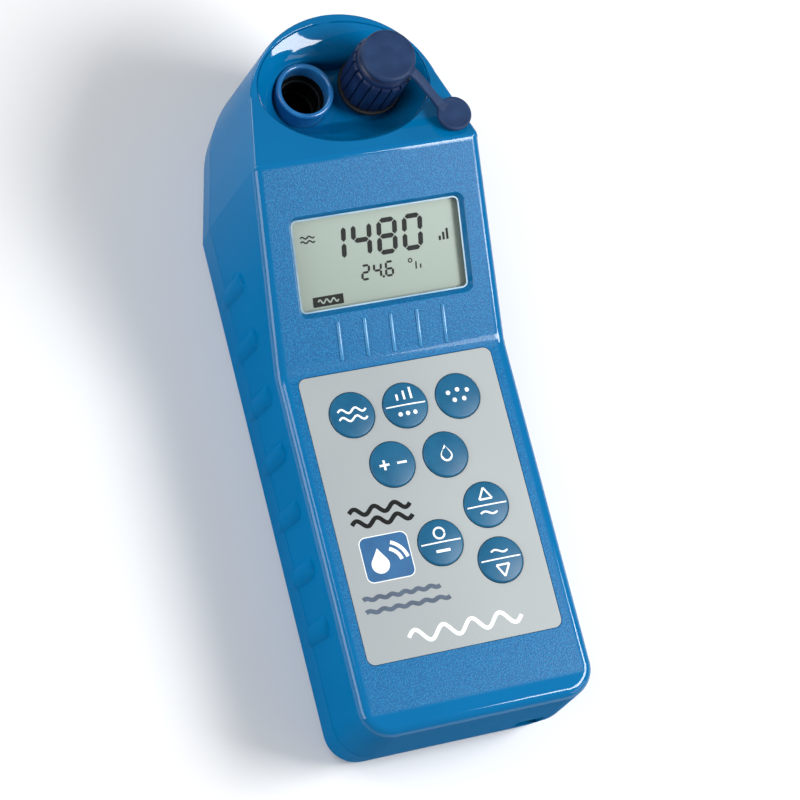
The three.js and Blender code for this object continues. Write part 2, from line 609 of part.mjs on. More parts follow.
add('battery', battery(), black);
add('battery_snap', batterySnap(), black);
const snapX = BATTERY.x + BATTERY.length + 5.6;
[[-75, finish(0xa01818, 0.6), 'red'], [-63, black, 'black']].forEach(([y, material, colour]) => {
  const route = [[snapX, y, 14], [snapX + 2, y + 1, 17], [snapX + 2, y + 6, 24], [snapX - 1, y + 12, 28.9]];
  add(`battery_lead_${colour}`, lead(route), material);
});
add('battery_pad', box(BATTERY.x + 2, BATTERY.x + 44, -80, -57, WALL + GAP, 4.7), rubber);

export default tester;
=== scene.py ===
# %% [markdown]
# # A handheld water tester
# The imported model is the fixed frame: every casing, key and fastener already has its place and its motion.
# This lesson builds the looks around it. Each piece that shows is made again with rounded edges and fine
# curves, in the same place, and the pieces that stay get a finish of their own.

# %% Load the frame
import json
import math

import bmesh
import bpy
import numpy as np
from mathutils import Matrix, Vector

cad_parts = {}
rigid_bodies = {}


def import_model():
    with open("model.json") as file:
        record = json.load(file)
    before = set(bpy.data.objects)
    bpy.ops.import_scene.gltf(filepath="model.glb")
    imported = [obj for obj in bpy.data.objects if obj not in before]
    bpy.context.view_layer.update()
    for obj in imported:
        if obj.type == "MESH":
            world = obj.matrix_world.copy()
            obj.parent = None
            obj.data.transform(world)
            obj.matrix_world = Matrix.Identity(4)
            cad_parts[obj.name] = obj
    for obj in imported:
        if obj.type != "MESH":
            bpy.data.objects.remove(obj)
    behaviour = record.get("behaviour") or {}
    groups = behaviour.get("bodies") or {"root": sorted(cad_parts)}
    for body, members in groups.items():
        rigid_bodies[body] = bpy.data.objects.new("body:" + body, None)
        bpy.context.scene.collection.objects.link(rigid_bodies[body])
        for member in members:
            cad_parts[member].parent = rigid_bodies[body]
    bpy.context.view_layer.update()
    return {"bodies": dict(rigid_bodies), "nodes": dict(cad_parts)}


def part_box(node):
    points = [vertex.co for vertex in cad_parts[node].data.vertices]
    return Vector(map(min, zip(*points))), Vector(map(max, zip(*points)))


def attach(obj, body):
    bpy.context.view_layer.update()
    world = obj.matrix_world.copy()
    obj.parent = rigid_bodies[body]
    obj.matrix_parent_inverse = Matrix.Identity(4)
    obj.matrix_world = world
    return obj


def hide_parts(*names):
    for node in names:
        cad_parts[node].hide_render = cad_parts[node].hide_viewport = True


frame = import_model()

# %% [markdown]
# The drawing of this tester is in millimetres, while Blender works in metres. All the sizes below are in
# millimetres, and one function turns finished points into a metre mesh. Where the frame already knows a
# place, such as a key's middle, it is read from the frame, so that the two can't drift apart.

# %% Sizes in millimetres
MM = 0.001


def corners(node):
    low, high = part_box(node)
    return Vector(low) / MM, Vector(high) / MM


def middle(node):
    low, high = corners(node)
    return (low + high) / 2


HALF_WIDTH, HALF_LENGTH = 34.0, 98.0
PARTING_Z, FACE_Z = 17.0, 41.5
BEND_Y, RIDGE_Y, RIDGE_Z = 3.0, 54.5, 64.0
LAND_FALL, LAND_RUN, LAND_EASE = 0.344, 16.0, 5.0
HEAD_RADIUS = 29.4
CORNER_RADIUS = 10.0
FRONT_DRAFT, REAR_DRAFT, END_DRAFT = 0.045, 0.075, 0.07
WALL = 2.5
FRONT_ROUND, HEAD_ROUND, REAR_ROUND = 2.4, 0.8, 3.0
SLOPE = math.atan2(RIDGE_Z - FACE_Z, RIDGE_Y - BEND_Y)
BEND_SOFTNESS, RIDGE_SOFTNESS = 2.2, 0.7
SEAM_HALF = 0.12

tube = middle("cell_cup")
well = middle("sensor_well")
print("cup at", [round(v, 1) for v in tube], "well at", [round(v, 1) for v in well])

# %% [markdown]
# ## Finishes as Python sums
# A procedural finish is a small sum: so much noise here, none past that edge. Wiring Math nodes by hand
# hides the sum, so one class stands for a value in the material and adds the Math nodes as Python adds,
# subtracts and multiplies. Everything else comes from one method that makes any node.

# %% The value class


class Value:
    """A socket in a material that Python arithmetic can use."""

    def __init__(self, finish, socket):
        self.finish, self.socket = finish, socket

    def __add__(self, other):
        return self.finish.maths("ADD", self, other)

    def __sub__(self, other):
        return self.finish.maths("SUBTRACT", self, other)

    def __rsub__(self, other):
        return self.finish.maths("SUBTRACT", other, self)

    def __mul__(self, other):
        return self.finish.maths("MULTIPLY", self, other)

    def __abs__(self):
        return self.finish.maths("ABSOLUTE", self)

    __radd__ = __add__
    __rmul__ = __mul__


def colour(code):
    """An sRGB code such as "0171a5" as Blender's linear colour."""
    parts = [int(code[i:i + 2], 16) / 255 for i in (0, 2, 4)]
    return tuple(c / 12.92 if c <= 0.04045 else ((c + 0.055) / 1.055) ** 2.4 for c in parts) + (1.0,)


# %% The finish class


class Finish:
    """A material that is built up by short calls."""

    def __init__(self, name, base="808080", roughness=0.5, **shader):
        self.material = bpy.data.materials.new(name)
        self.material.use_nodes = True
        self.tree = self.material.node_tree
        self.shader = self.tree.nodes["Principled BSDF"]
        self.set("Base Color", colour(base))
        self.set("Roughness", roughness)
        for socket, value in shader.items():
            self.set(socket.replace("_", " "), value)

    def node(self, kind, settings=None, sockets=None, out=0):
        made = self.tree.nodes.new(kind)
        for key, value in (settings or {}).items():
            setattr(made, key, value)
        for key, value in (sockets or {}).items():
            self._feed(made.inputs[key], value)
        return Value(self, made.outputs[out])

    def _feed(self, socket, value):
        if isinstance(value, Value):
            self.tree.links.new(value.socket, socket)
        else:
            socket.default_value = value

    def set(self, socket, value):
        self._feed(self.shader.inputs[socket], value)

    def maths(self, operation, *values):
        return self.node("ShaderNodeMath", {"operation": operation}, dict(enumerate(values)))

    def place(self):
        """Object coordinates in millimetres, as x, y and z."""
        where = self.node("ShaderNodeTexCoord", out="Object")
        axes = [self.node("ShaderNodeSeparateXYZ", {}, {0: where}, out=axis) for axis in "XYZ"]
        return where, [axis * (1 / MM) for axis in axes]

    def noise(self, where, size, detail=2.0):
        """Cloudy noise whose lumps are about size millimetres across."""
        return self.node("ShaderNodeTexNoise", {}, {
            "Vector": where, "Scale": 1 / (size * MM), "Detail": detail, "Roughness": 0.55})

    def step(self, value, start, end):
        """0 before start, 1 after end, smooth between."""
        return self.node("ShaderNodeMapRange", {"interpolation_type": "SMOOTHSTEP", "clamp": True}, {
            "Value": value, "From Min": start, "From Max": end})

    def blend(self, amount, first, second):
        return self.node("ShaderNodeMix", {"data_type": "RGBA"}, {0: amount, 6: first, 7: second}, out=2)

    def bump(self, height, depth, strength=1.0):
        """Bumps depth millimetres deep."""
        normal = self.node("ShaderNodeBump", {}, {
            "Height": height, "Distance": depth * MM, "Strength": strength}, out="Normal")
        self.set("Normal", normal)


# %% [markdown]
# ## The moulded blue plastic
# Both shells are one glossy blue plastic. The display slope and the keypad surround are spark-eroded in
# the mould, which leaves a fine grain that looks paler and sparkles; the land, the bowl and the sides are
# polished. One material mixes both, and smooth steps on the place and on the way that the surface faces
# say where the grain lies. Painting two materials on the faces would leave a jagged border.

# %% Blue plastic
GRAIN_HALF_WIDTH = 30.0
GRAIN_SIZE, GRAIN_DEPTH = 0.42, 0.1


def blue_plastic():
    f = Finish("case_blue", "0069a0", 0.3, Coat_Roughness=0.05, Specular_IOR_Level=0.0)
    where, (x, y, z) = f.place()
    facing = f.node("ShaderNodeSeparateXYZ", {}, {0: f.node("ShaderNodeTexCoord", out="Normal")}, out="Z")
    across = 1 - f.step(abs(x), GRAIN_HALF_WIDTH - 0.5, GRAIN_HALF_WIDTH + 0.6)
    along = f.step(y, -HALF_LENGTH + 7.2, -HALF_LENGTH + 8.4) * (1 - f.step(y, RIDGE_Y - 1.5, RIDGE_Y - 0.7))
    bend = f.step(abs(y - BEND_Y), 0.9, 2.4)
    grained = across * along * f.step(facing, 0.72, 0.86) * (0.8 + 0.2 * bend)
    grained = grained * f.step(z, FACE_Z - 0.9, FACE_Z - 0.3)
    grain = f.noise(where, GRAIN_SIZE, 2.0)
    sparkle = f.step(grain, 0.40, 0.68)
    cloud = f.noise(where, 26.0, 1.0)
    fine = f.noise(where, 0.32, 3.0)
    upper = f.step(facing, 0.05, 0.3) * f.step(z, 38.0, 41.0)
    f.set("Base Color", f.blend(cloud, colour("00649a"), colour("006ca4")))
    f.set("Roughness", 0.3 + 0.06 * cloud)
    f.set("Coat Weight", 0.05 + 0.85 * upper + 0.35 * f.step(y, 20.0, 80.0) * (1 - upper))
    f.bump(0.04 * fine, 0.06, 0.7)
    eroded = f.blend(sparkle, colour("005c92"), colour("0b76ac"))
    tooth = f.node("ShaderNodeBump", {}, {
        "Height": grain, "Distance": GRAIN_DEPTH * MM, "Strength": 0.8}, out="Normal")
    frosted = f.node("ShaderNodeBsdfPrincipled", {}, {
        "Base Color": eroded, "Roughness": 0.38, "Specular IOR Level": 0.22, "Normal": tooth})
    mixed = f.node("ShaderNodeMixShader", {}, {0: grained, 1: Value(f, f.shader.outputs[0]), 2: frosted})
    f.tree.links.new(mixed.socket, f.tree.nodes["Material Output"].inputs["Surface"])
    return f.material


case_blue = blue_plastic()
print("made", case_blue.name)

# %% [markdown]
# ## The quieter finishes
# The tubes are the same plastic without grain. The cap is a darker, satin navy; its pull tab is softer and
# a little paler, with a bloom that dulls it. The keys are printed satin caps, the label is a silver-grey
# sheet with a very fine tooth, and the display is a pale green reflector under glass.

# %% Plastics and rubber


def speckled(name, dark, light, roughness, size, depth, swing=0.08, **shader):
    """A moulded surface whose colour and gloss drift a little and whose skin has fine tooth."""
    f = Finish(name, dark, roughness, **shader)
    where, _ = f.place()
    drift = f.noise(where, size * 14, 2.0)
    tooth = f.noise(where, size, 2.0)
    f.set("Base Color", f.blend(f.step(drift + 0.35 * tooth, 0.4, 0.95), colour(dark), colour(light)))
    f.set("Roughness", roughness - swing / 2 + swing * drift)
    f.bump(tooth, depth)
    return f.material


tube_blue = speckled("tube_blue", "1c63a0", "2b7cba", 0.22, 0.5, 0.004, Coat_Weight=0.3)
# painted highlight: the ribs get a paler blue than the case, standing for the light that their tops catch
rib_highlight_blue = speckled("rib_highlight_blue", "2377ac", "3f8fc2", 0.3, 0.4, 0.006, Coat_Weight=0.4)
# painted shade: a near-black finish for the liner deep in the cup's bore, standing for the shade down there
bore_shade_black = speckled("bore_shade_black", "020407", "05080c", 0.5, 0.5, 0.01, Specular_IOR_Level=0.2)
cap_navy = speckled("cap_navy", "0e1d40", "162a52", 0.38, 0.5, 0.012, Specular_IOR_Level=0.35)
tab_navy = speckled("tab_navy", "182e52", "213a60", 0.55, 0.35, 0.014, Specular_IOR_Level=0.25)
key_blue = speckled("key_blue", "12567a", "1c6186", 0.36, 0.45, 0.006, Specular_IOR_Level=0.3)
black_rubber = speckled("black_rubber", "0c0d0f", "1a1b1e", 0.75, 0.4, 0.02)
black_plastic = speckled("black_plastic", "101113", "1e2023", 0.5, 0.4, 0.012)
foam = speckled("foam", "1c1c1f", "34343a", 0.95, 0.6, 0.15)
ivory_plastic = speckled("ivory_plastic", "d4d4cc", "e8e8e2", 0.45, 0.5, 0.01)
red_wire = speckled("red_wire", "8c1212", "b02020", 0.4, 0.5, 0.01)
print_white = speckled("print_white", "e8ecec", "fafcfc", 0.5, 0.3, 0.003)
print_black = speckled("print_black", "08090a", "121415", 0.6, 0.3, 0.003, Specular_IOR_Level=0.2)
print_grey = speckled("print_grey", "3c4c60", "485a6e", 0.5, 0.3, 0.003)
print_blue = speckled("print_blue", "0b5486", "125f93", 0.4, 0.3, 0.003)

# %% Label, display and metals


def label_silver():
    f = Finish("label_silver", "a2a9ac", 0.42, Specular_IOR_Level=0.25)
    where, (x, y, _) = f.place()
    tooth = f.noise(where, 0.28, 2.0)
    drift = f.noise(where, 30.0, 1.5)
    # painted light: the sheet is painted paler towards the right and the top, as if lit from there
    lit = f.step(x + 0.35 * y, -60.0, 40.0)
    f.set("Base Color", f.blend(
        f.step(0.5 * drift + 0.5 * lit + 0.12 * tooth, 0.15, 0.95), colour("9ca3a6"), colour("a8aeaf")))
    f.set("Roughness", 0.4 + 0.1 * tooth)
    f.bump(tooth, 0.012)
    return f.material


def display_green():
    f = Finish("display_green", "929d95", 0.45)
    where, (_, y, _) = f.place()
    film = f.noise(where, 0.25, 1.0)
    # painted light: the panel is painted paler towards its top, standing for how the light falls across it
    painted_light_falloff = f.step(y, 12.0, 46.0)
    f.set("Base Color", f.blend(0.75 * painted_light_falloff + 0.25 * film, colour("8a998e"), colour("96a59b")))
    f.set("Roughness", 0.42 + 0.06 * film)
    f.bump(film, 0.004)
    return f.material


def metal(name, dark, light, roughness):
    """Turned or drawn metal: a fine streak along Z in the colour and the gloss."""
    f = Finish(name, dark, roughness, Metallic=1.0)
    where, _ = f.place()
    stretched = f.node("ShaderNodeMapping", {}, {"Vector": where, "Scale": (1.0, 1.0, 0.06)})
    streak = f.noise(stretched, 0.3, 3.0)
    f.set("Base Color", f.blend(streak, colour(dark), colour(light)))
    f.set("Roughness", roughness + 0.15 * streak)
    f.bump(streak, 0.006)
    return f.material


def circuit_green():
    """Solder mask over copper: tracks show as paler lanes on a square grid."""
    f = Finish("circuit_green", "14572e", 0.3, Coat_Weight=0.3)
    where, (x, y, _) = f.place()
    wander = f.noise(where, 9.0, 1.0)
    lane_x = f.step(abs(f.maths("PINGPONG", x + 3 * wander, 1.2) - 0.6), 0.25, 0.35)
    lane_y = f.step(abs(f.maths("PINGPONG", y + 3 * wander, 1.7) - 0.85), 0.3, 0.4)
    f.set("Base Color", f.blend(lane_x * lane_y, colour("114a28"), colour("1f7040")))
    f.set("Roughness", 0.28 + 0.2 * wander)
    return f.material


def clear_plastic(name, tint, alpha, roughness):
    """A clear sheet: mostly see-through, with gloss and a trace of smears."""
    f = Finish(name, tint, roughness, Specular_IOR_Level=0.5)
    where, _ = f.place()
    smear = f.noise(where, 7.0, 3.0)
    f.set("Alpha", alpha + 0.01 * smear)
    f.set("Roughness", roughness + 0.05 * smear)
    return f.material


silver = label_silver()
display_face = display_green()
graphite = metal("electrode", "2a2f34", "41474e", 0.35)
steel = metal("steel", "a8abb0", "d4d6da", 0.25)
jacket = metal("battery_jacket", "17181a", "2c2e32", 0.35)
board = circuit_green()
# painted highlight: a pale band standing for the light caught by the clear window's edge
edge_highlight_pale = speckled("window_edge", "7fa3ba", "9cbccd", 0.3, 0.4, 0.003)
window_clear = clear_plastic("window_clear", "e9f1ee", 0.002, 0.04)
sensor_glass = clear_plastic("sensor_glass", "dfeae6", 0.3, 0.03)
print("finishes:", len(bpy.data.materials))

# %% [markdown]
# ## From points to pieces
# Most pieces of a moulded tool are one of three things: a shape turned about an axis, a flat outline with
# thickness, or a stack of rings. Each is a few lines of points, so a few helpers make them all.
# Shading is smooth up to an angle, and large faces keep the say over the normals at their edges, which
# keeps a flat face flat right up to its rounded rim.

# %% Mesh helpers


def mesh_piece(name, points, faces, material):
    mesh = bpy.data.meshes.new(name)
    mesh.from_pydata([tuple(float(c) * MM for c in p) for p in points], [], faces)
    mesh.materials.append(material)
    piece = bpy.data.objects.new(name, mesh)
    bpy.context.scene.collection.objects.link(piece)
    tidy(piece)
    return piece


def tidy(piece, merge=0.002):
    """Merges doubled points and turns every face outwards."""
    b = bmesh.new()
    b.from_mesh(piece.data)
    bmesh.ops.remove_doubles(b, verts=b.verts, dist=merge * MM)
    bmesh.ops.dissolve_degenerate(b, edges=b.edges, dist=merge * MM)
    bmesh.ops.recalc_face_normals(b, faces=b.faces)
    b.to_mesh(piece.data)
    b.free()


def bake(piece):
    """Turns the piece and its modifiers into a plain mesh."""
    graph = bpy.context.evaluated_depsgraph_get()
    plain = bpy.data.meshes.new_from_object(piece.evaluated_get(graph))
    piece.modifiers.clear()
    piece.data = plain
    return piece


def carve(piece, cutter, operation="DIFFERENCE"):
    """Cuts or joins cutter with the piece and throws the cutter away."""
    modifier = piece.modifiers.new("carve", "BOOLEAN")
    modifier.operation, modifier.solver, modifier.object = operation, "EXACT", cutter
    bake(piece)
    bpy.data.objects.remove(cutter)
    return piece


def smooth(piece, angle=180):
    """Smooth shading up to an angle between faces."""
    for polygon in piece.data.polygons:
        polygon.use_smooth = True
    if angle < 180:
        piece.data.set_sharp_from_angle(angle=math.radians(angle))


def shade(piece, angle=32):
    """Smooth shading up to an angle, weighted by face size."""
    smooth(piece, angle)
    weights = piece.modifiers.new("weights", "WEIGHTED_NORMAL")
    weights.keep_sharp = True
    weights.weight = 80
    return bake(piece)


def join(name, pieces):
    """Joins closed pieces into one object, each keeping its finish."""
    b = bmesh.new()
    materials = []
    for piece in pieces:
        start = len(b.faces)
        b.from_mesh(piece.data)
        b.faces.ensure_lookup_table()
        offset = {i: materials.index(m) if m in materials else (materials.append(m) or len(materials) - 1)
                  for i, m in enumerate(piece.data.materials)}
        for face in b.faces[start:]:
            face.material_index = offset[face.material_index]
        bpy.data.objects.remove(piece)
    mesh = bpy.data.meshes.new(name)
    b.to_mesh(mesh)
    b.free()
    for material in materials:
        mesh.materials.append(material)
    whole = bpy.data.objects.new(name, mesh)
    bpy.context.scene.collection.objects.link(whole)
    return whole


# %% Rings, lathes and outlines


def bands(levels, count):
    """Quads between rings of count points that lie one above the other."""
    return [(k + i, k + (i + 1) % count, k + count + (i + 1) % count, k + count + i)
            for k in range(0, (levels - 1) * count, count) for i in range(count)]


def stack(name, rings, material):
    """A closed piece through rings of equal length, lowest first, with flat ends."""
    count = len(rings[0])
    last = (len(rings) - 1) * count
    faces = bands(len(rings), count) + [tuple(reversed(range(count))), tuple(range(last, last + count))]
    return mesh_piece(name, [p for ring in rings for p in ring], faces, material)


def lathe(name, profile, material, centre=(0, 0), sides=72):
    """Turns [radius, z] points about an upright axis. Both ends lie on the axis, or the profile closes."""
    points = [(centre[0] + r * math.cos(2 * math.pi * i / sides),
               centre[1] + r * math.sin(2 * math.pi * i / sides), z)
              for r, z in profile for i in range(sides)]
    return mesh_piece(name, points, bands(len(profile), sides), material)


def arc(cx, cy, radius, start, end, steps):
    """Points of an arc, in degrees."""
    angles = [math.radians(start + (end - start) * i / steps) for i in range(steps + 1)]
    return [(cx + radius * math.cos(a), cy + radius * math.sin(a)) for a in angles]


def rounded_outline(width, height, radius, steps=8):
    x, y = width / 2 - radius, height / 2 - radius
    places = [(x, y, 0), (-x, y, 90), (-x, -y, 180), (x, -y, 270)]
    return [p for cx, cy, a in places for p in arc(cx, cy, radius, a, a + 90, steps)]


def shifted(outline, dx, dy):
    return [(x + dx, y + dy) for x, y in outline]


def plate(name, outline, low, high, material):
    return stack(name, [[(x, y, z) for x, y in outline] for z in (low, high)], material)


def rod(name, x, y, radius, low, high, material, sides=64):
    return plate(name, arc(x, y, radius, 0, 360 * (1 - 1 / sides), sides - 1), low, high, material)


def on_slope(x, up, out):
    """A point given across, up and out of the display slope."""
    return (x, BEND_Y + up * math.cos(SLOPE) - out * math.sin(SLOPE),
            FACE_Z + up * math.sin(SLOPE) + out * math.cos(SLOPE))


# %% [markdown]
# ## The case
# The case is two shells with drafted walls, parted by a thin seam. Its top is flat across everywhere: only
# the height changes along the length. So one half of the outline, from the keypad end round to the head,
# carries the whole form: each ring follows that outline, moved in by the draft or by the round of the edge,
# and strips join the left and right halves. A bevel modifier on a rough block would give the same edges,
# but it fails where cuts run close together; here the cuts come after the rounds and can't disturb them.

# %% Outline and roof


def ramp(t, softness):
    """0 before zero and t after it, with a parabola of half width softness between."""
    if abs(t) >= softness:
        return max(t, 0.0)
    return (t + softness) ** 2 / (4 * softness)


def land(y):
    """The land falls from the ridge and levels off towards the tip of the head."""
    return RIDGE_Z - LAND_FALL * (y - RIDGE_Y - ramp(y - RIDGE_Y - LAND_RUN, LAND_EASE))


def roof(y):
    climb = math.tan(SLOPE)
    slope = FACE_Z + ramp(y - BEND_Y, BEND_SOFTNESS) * climb
    past = ramp(y - RIDGE_Y, RIDGE_SOFTNESS)
    return slope - past * climb + land(RIDGE_Y + past) - RIDGE_Z


def edge_round(y):
    """Radius of the front shell's edge: soft along the display and keypad, crisp round the bowl."""
    t = min(max((y - RIDGE_Y + RIDGE_SOFTNESS) / (2 * RIDGE_SOFTNESS), 0.0), 1.0)
    return FRONT_ROUND + (HEAD_ROUND - FRONT_ROUND) * t


def outline_stations():
    """Right half of the outline as (x, y, normal x, normal y), keypad end first."""
    stations = []
    for nx, ny in arc(0, 0, 1, -90, 0, 14):
        stations.append((HALF_WIDTH - CORNER_RADIUS + CORNER_RADIUS * nx,
                         -HALF_LENGTH + CORNER_RADIUS + CORNER_RADIUS * ny, nx, ny))
    soft = [BEND_Y + BEND_SOFTNESS * t for t in np.linspace(-1, 1, 9)]
    crisp = [RIDGE_Y + RIDGE_SOFTNESS * t for t in np.linspace(-1, 0, 4)]
    stations += [(HALF_WIDTH, y, 1.0, 0.0) for y in soft + crisp]
    head_y = HALF_LENGTH - HEAD_RADIUS
    reach = math.hypot(HALF_WIDTH, head_y - RIDGE_Y)
    start = math.degrees(math.acos(HEAD_RADIUS / reach) - math.atan2(head_y - RIDGE_Y, HALF_WIDTH))
    turn = arc(0, 0, 1, start, 90, 28)[:-1] + [(0.01, 1.0)]
    for t in (0.25, 0.5, 0.75, 1.0):
        y = RIDGE_Y + RIDGE_SOFTNESS * t
        first = (HEAD_RADIUS * turn[0][0], head_y + HEAD_RADIUS * turn[0][1])
        share = (y - RIDGE_Y) / (first[1] - RIDGE_Y)
        stations.append((HALF_WIDTH + (first[0] - HALF_WIDTH) * share, y, 1 / turn[0][0], 0.0))
    stations += [(HEAD_RADIUS * nx, head_y + HEAD_RADIUS * ny, nx, ny) for nx, ny in turn]
    return stations


STATIONS = outline_stations()
print("stations on half the outline:", len(STATIONS))

# %% Case rings


def wall_draft(z):
    """How far the wall has come in at height z."""
    return (z - PARTING_Z) * FRONT_DRAFT if z > PARTING_Z else (PARTING_Z - z) * REAR_DRAFT


def case_ring(height, inset):
    """Half ring of the case. height and inset are numbers or functions of y."""
    ring = []
    for x, y, nx, ny in STATIONS:
        z = height(y) if callable(height) else height
        inward = wall_draft(z) + (inset(y) if callable(inset) else inset)
        at_end = min(max((-HALF_LENGTH + CORNER_RADIUS - y) / CORNER_RADIUS, 0), 1)
        lean = max(z - PARTING_Z, 0) * (END_DRAFT - FRONT_DRAFT) * at_end
        ring.append((x - nx * inward, y - ny * inward + lean, z))
    return ring


def case_body(name, half_rings):
    """Mirrors the half rings and closes the bottom and the top with strips across."""
    count = len(half_rings[0])
    around = 2 * count
    points = [p for half in half_rings for p in half + [(-x, y, z) for x, y, z in reversed(half)]]
    faces = bands(len(half_rings), around)
    top = (len(half_rings) - 1) * around
    for i in range(count - 1):
        faces.append((i + 1, i, around - 1 - i, around - 2 - i))
        faces.append((top + i, top + i + 1, top + around - 2 - i, top + around - 1 - i))
    return mesh_piece(name, points, faces, case_blue)


def rounded_edge(surface, radius, side, steps=8):
    """Half rings that curve in to meet surface from below (side 1) or from above (side -1)."""
    rings = []
    for i in range(steps + 1):
        up, across = 1 - math.sin(math.pi / 2 * i / steps), 1 - math.cos(math.pi / 2 * i / steps)
        rings.append(case_ring(lambda y: surface(y) - side * radius(y) * up, lambda y: radius(y) * across))
    return rings


# %% [markdown]
# ## The sample bowl
# Under the head's rim lies an oval bowl with a flat pocket, rounded at both ends, where the two tubes stand.
# The wall rises steeply from the pocket floor and eases out towards the rim, most of all behind the tubes:
# its height is a power of the way out, and the power falls from front to back. It is cut as one stack of
# rings, from the floor to a lip that rolls out on the rim.

# %% Bowl cutter
BOWL_Y, BOWL_HALF_X, BOWL_HALF_Y = 76.0, 24.0, 17.8
POCKET_Y, POCKET_Z, FLAT_RADIUS = 77.0, 46.5, 7.6
LIP = 0.45
BACK_POWER, POWER_GAIN = 0.2, 0.3


def bowl_ring(share, grow, lift, steps=120):
    """share runs from 0 at the pocket floor to 1 at the rim."""
    ring = []
    for i in range(steps):
        c, s = math.cos(2 * math.pi * i / steps), math.sin(2 * math.pi * i / steps)
        low = (well.x * math.tanh(4 * c) + FLAT_RADIUS * c, POCKET_Y + FLAT_RADIUS * s)
        rim = (BOWL_HALF_X * c, BOWL_Y + BOWL_HALF_Y * s)
        x, y = (a + (b - a) * share for a, b in zip(low, rim))
        z = POCKET_Z + (land(rim[1]) - POCKET_Z) * share ** (BACK_POWER + POWER_GAIN * (1 - s) ** 2)
        ring.append((x + grow * c, y + grow * s, z + lift))
    return ring


def bowl_cutter(grow=0.0, lower=0.0):
    rings = [bowl_ring(share, grow, -lower * (1 - share)) for share in np.linspace(0, 0.98, 22) ** 2.2]
    for i in range(7):
        a = math.pi / 2 * i / 6
        rings.append(bowl_ring(1, grow + LIP * (1 - math.cos(a)), -LIP * (1 - math.sin(a))))
    rings.append(bowl_ring(1, grow + LIP, 12))
    return stack("bowl_cutter", rings, case_blue)


# %% [markdown]
# ## The front shell
# The shell starts as the solid outside form. The hollow, the bowl, the display opening, the label's
# recess and the key holes are cut from it in that order, then the two small notches and the tubes'
# sockets. The display opening's wall leans in, so it is a stack of rings as well. The grip bars are added
# before anything is cut: each is a stack of discs that stands out of the drafted wall by a set height, so
# that its upper end is blunt and its lower end fades.

# %% Cutters
GRIP_COUNT, GRIP_FIRST_Y, GRIP_PITCH = 7, 33.6, 16.1
GRIP_RADIUS = 4.6
GRIP_HEIGHTS = [(4, -0.3), (5.5, -0.1), (7, 0.05), (9.5, 0.3), (12, 0.52), (14.5, 0.7), (17, 0.85),
                (23, 1.05), (30, 1.2), (31.6, 1.15), (32.6, 0.9), (33.3, 0.4), (33.6, -0.3)]
WINDOW_WIDTH, WINDOW_HEIGHT, WINDOW_MIDDLE = 50.0, 27.2, 27.9
WINDOW_SHIFT, WINDOW_OUT, PANEL_OUT = 0.5, -1.75, -3.58


def add_grips(shell, low, high):
    """Joins the part of every grip bar between two heights to the shell."""
    levels = [low] + [z for z, _ in GRIP_HEIGHTS if low < z < high] + [high]
    for side in (-1, 1):
        for i in range(GRIP_COUNT):
            rings = []
            for z in levels:
                out = np.interp(z, *zip(*GRIP_HEIGHTS))
                x = side * (HALF_WIDTH - wall_draft(z) - GRIP_RADIUS + out)
                disc = arc(x, GRIP_FIRST_Y - i * GRIP_PITCH, GRIP_RADIUS, 0, 355, 71)
                rings.append([(*p, z) for p in disc])
            carve(shell, stack("grip", rings, case_blue), "UNION")


def window_cutter():
    """The opening narrows from the face to the clear window, with a small round at its mouth."""
    levels = [(-9, -2.0), (WINDOW_OUT, -2.0), (-1.7, -1.9), (-0.35, -0.35), (-0.2, -0.12), (-0.07, 0.12),
              (0.0, 0.35), (2.0, 0.35)]
    rings = [[on_slope(x + WINDOW_SHIFT, WINDOW_MIDDLE + up, out)
              for x, up in rounded_outline(WINDOW_WIDTH + grow, WINDOW_HEIGHT + grow, 2.6 + grow / 2)]
             for out, grow in levels]
    return stack("window_cutter", rings, case_blue)


def window_seat():
    """Room for the clear window behind the opening."""
    outline = rounded_outline(WINDOW_WIDTH + 4, WINDOW_HEIGHT + 4, 3)
    rings = [[on_slope(x, WINDOW_MIDDLE + up, out) for x, up in outline] for out in (-9, WINDOW_OUT)]
    return stack("window_seat", rings, case_blue)


label_low, label_high = corners("key_label")
LABEL_WIDTH, LABEL_HEIGHT = label_high.x - label_low.x + 0.3, label_high.y - label_low.y + 0.3
label_y = (label_low.y + label_high.y) / 2
KEYS = [name for name in frame["bodies"] if name.startswith("key_")]
KEY_HOLE, LABEL_TOP = 6.5, FACE_Z - 0.06
print("keys:", KEYS)


def key_holes(radius=KEY_HOLE, material=case_blue):
    """One rod through the face at every key."""
    places = [middle(key) for key in KEYS]
    return join("holes", [rod("hole", x, y, radius, 35, 45, material) for x, y, _ in places])


def label_outline(grow, radius, z):
    outline = rounded_outline(LABEL_WIDTH + grow, LABEL_HEIGHT + grow, radius)
    return [(x, label_y + y, z) for x, y in outline]


def label_cutter():
    levels = [(-0.7, 0.0), (-0.2, 0.0), (-0.05, 0.08), (0.0, 0.25), (2.0, 0.25)]
    rings = [label_outline(grow, 2.3 + grow / 2, FACE_Z + up) for up, grow in levels]
    return stack("label_cutter", rings, case_blue)


def pour_notch():
    """A shallow dip in the rim at the tip of the head, a little left of the middle."""
    radius, shift, depth = 12, -1, 0.4
    low = land(HALF_LENGTH) - depth
    profile = [(radius * math.sin(a) + shift, low + radius * (1 - math.cos(a)))
               for a in np.radians(np.linspace(-60, 60, 49))]
    return stack("pour_notch", [[(x, y, z) for x, z in profile] for y in (91.0, 100.0)], case_blue)


def notch_cutter():
    """The small notch in the keypad end that the lanyard pin crosses."""
    pin = middle("lanyard_pin")
    outline = shifted(rounded_outline(8, 11, 1.2), pin.x, -HALF_LENGTH - 1)
    return plate("notch_cutter", outline, pin.z - 4, pin.z + 4, case_blue)


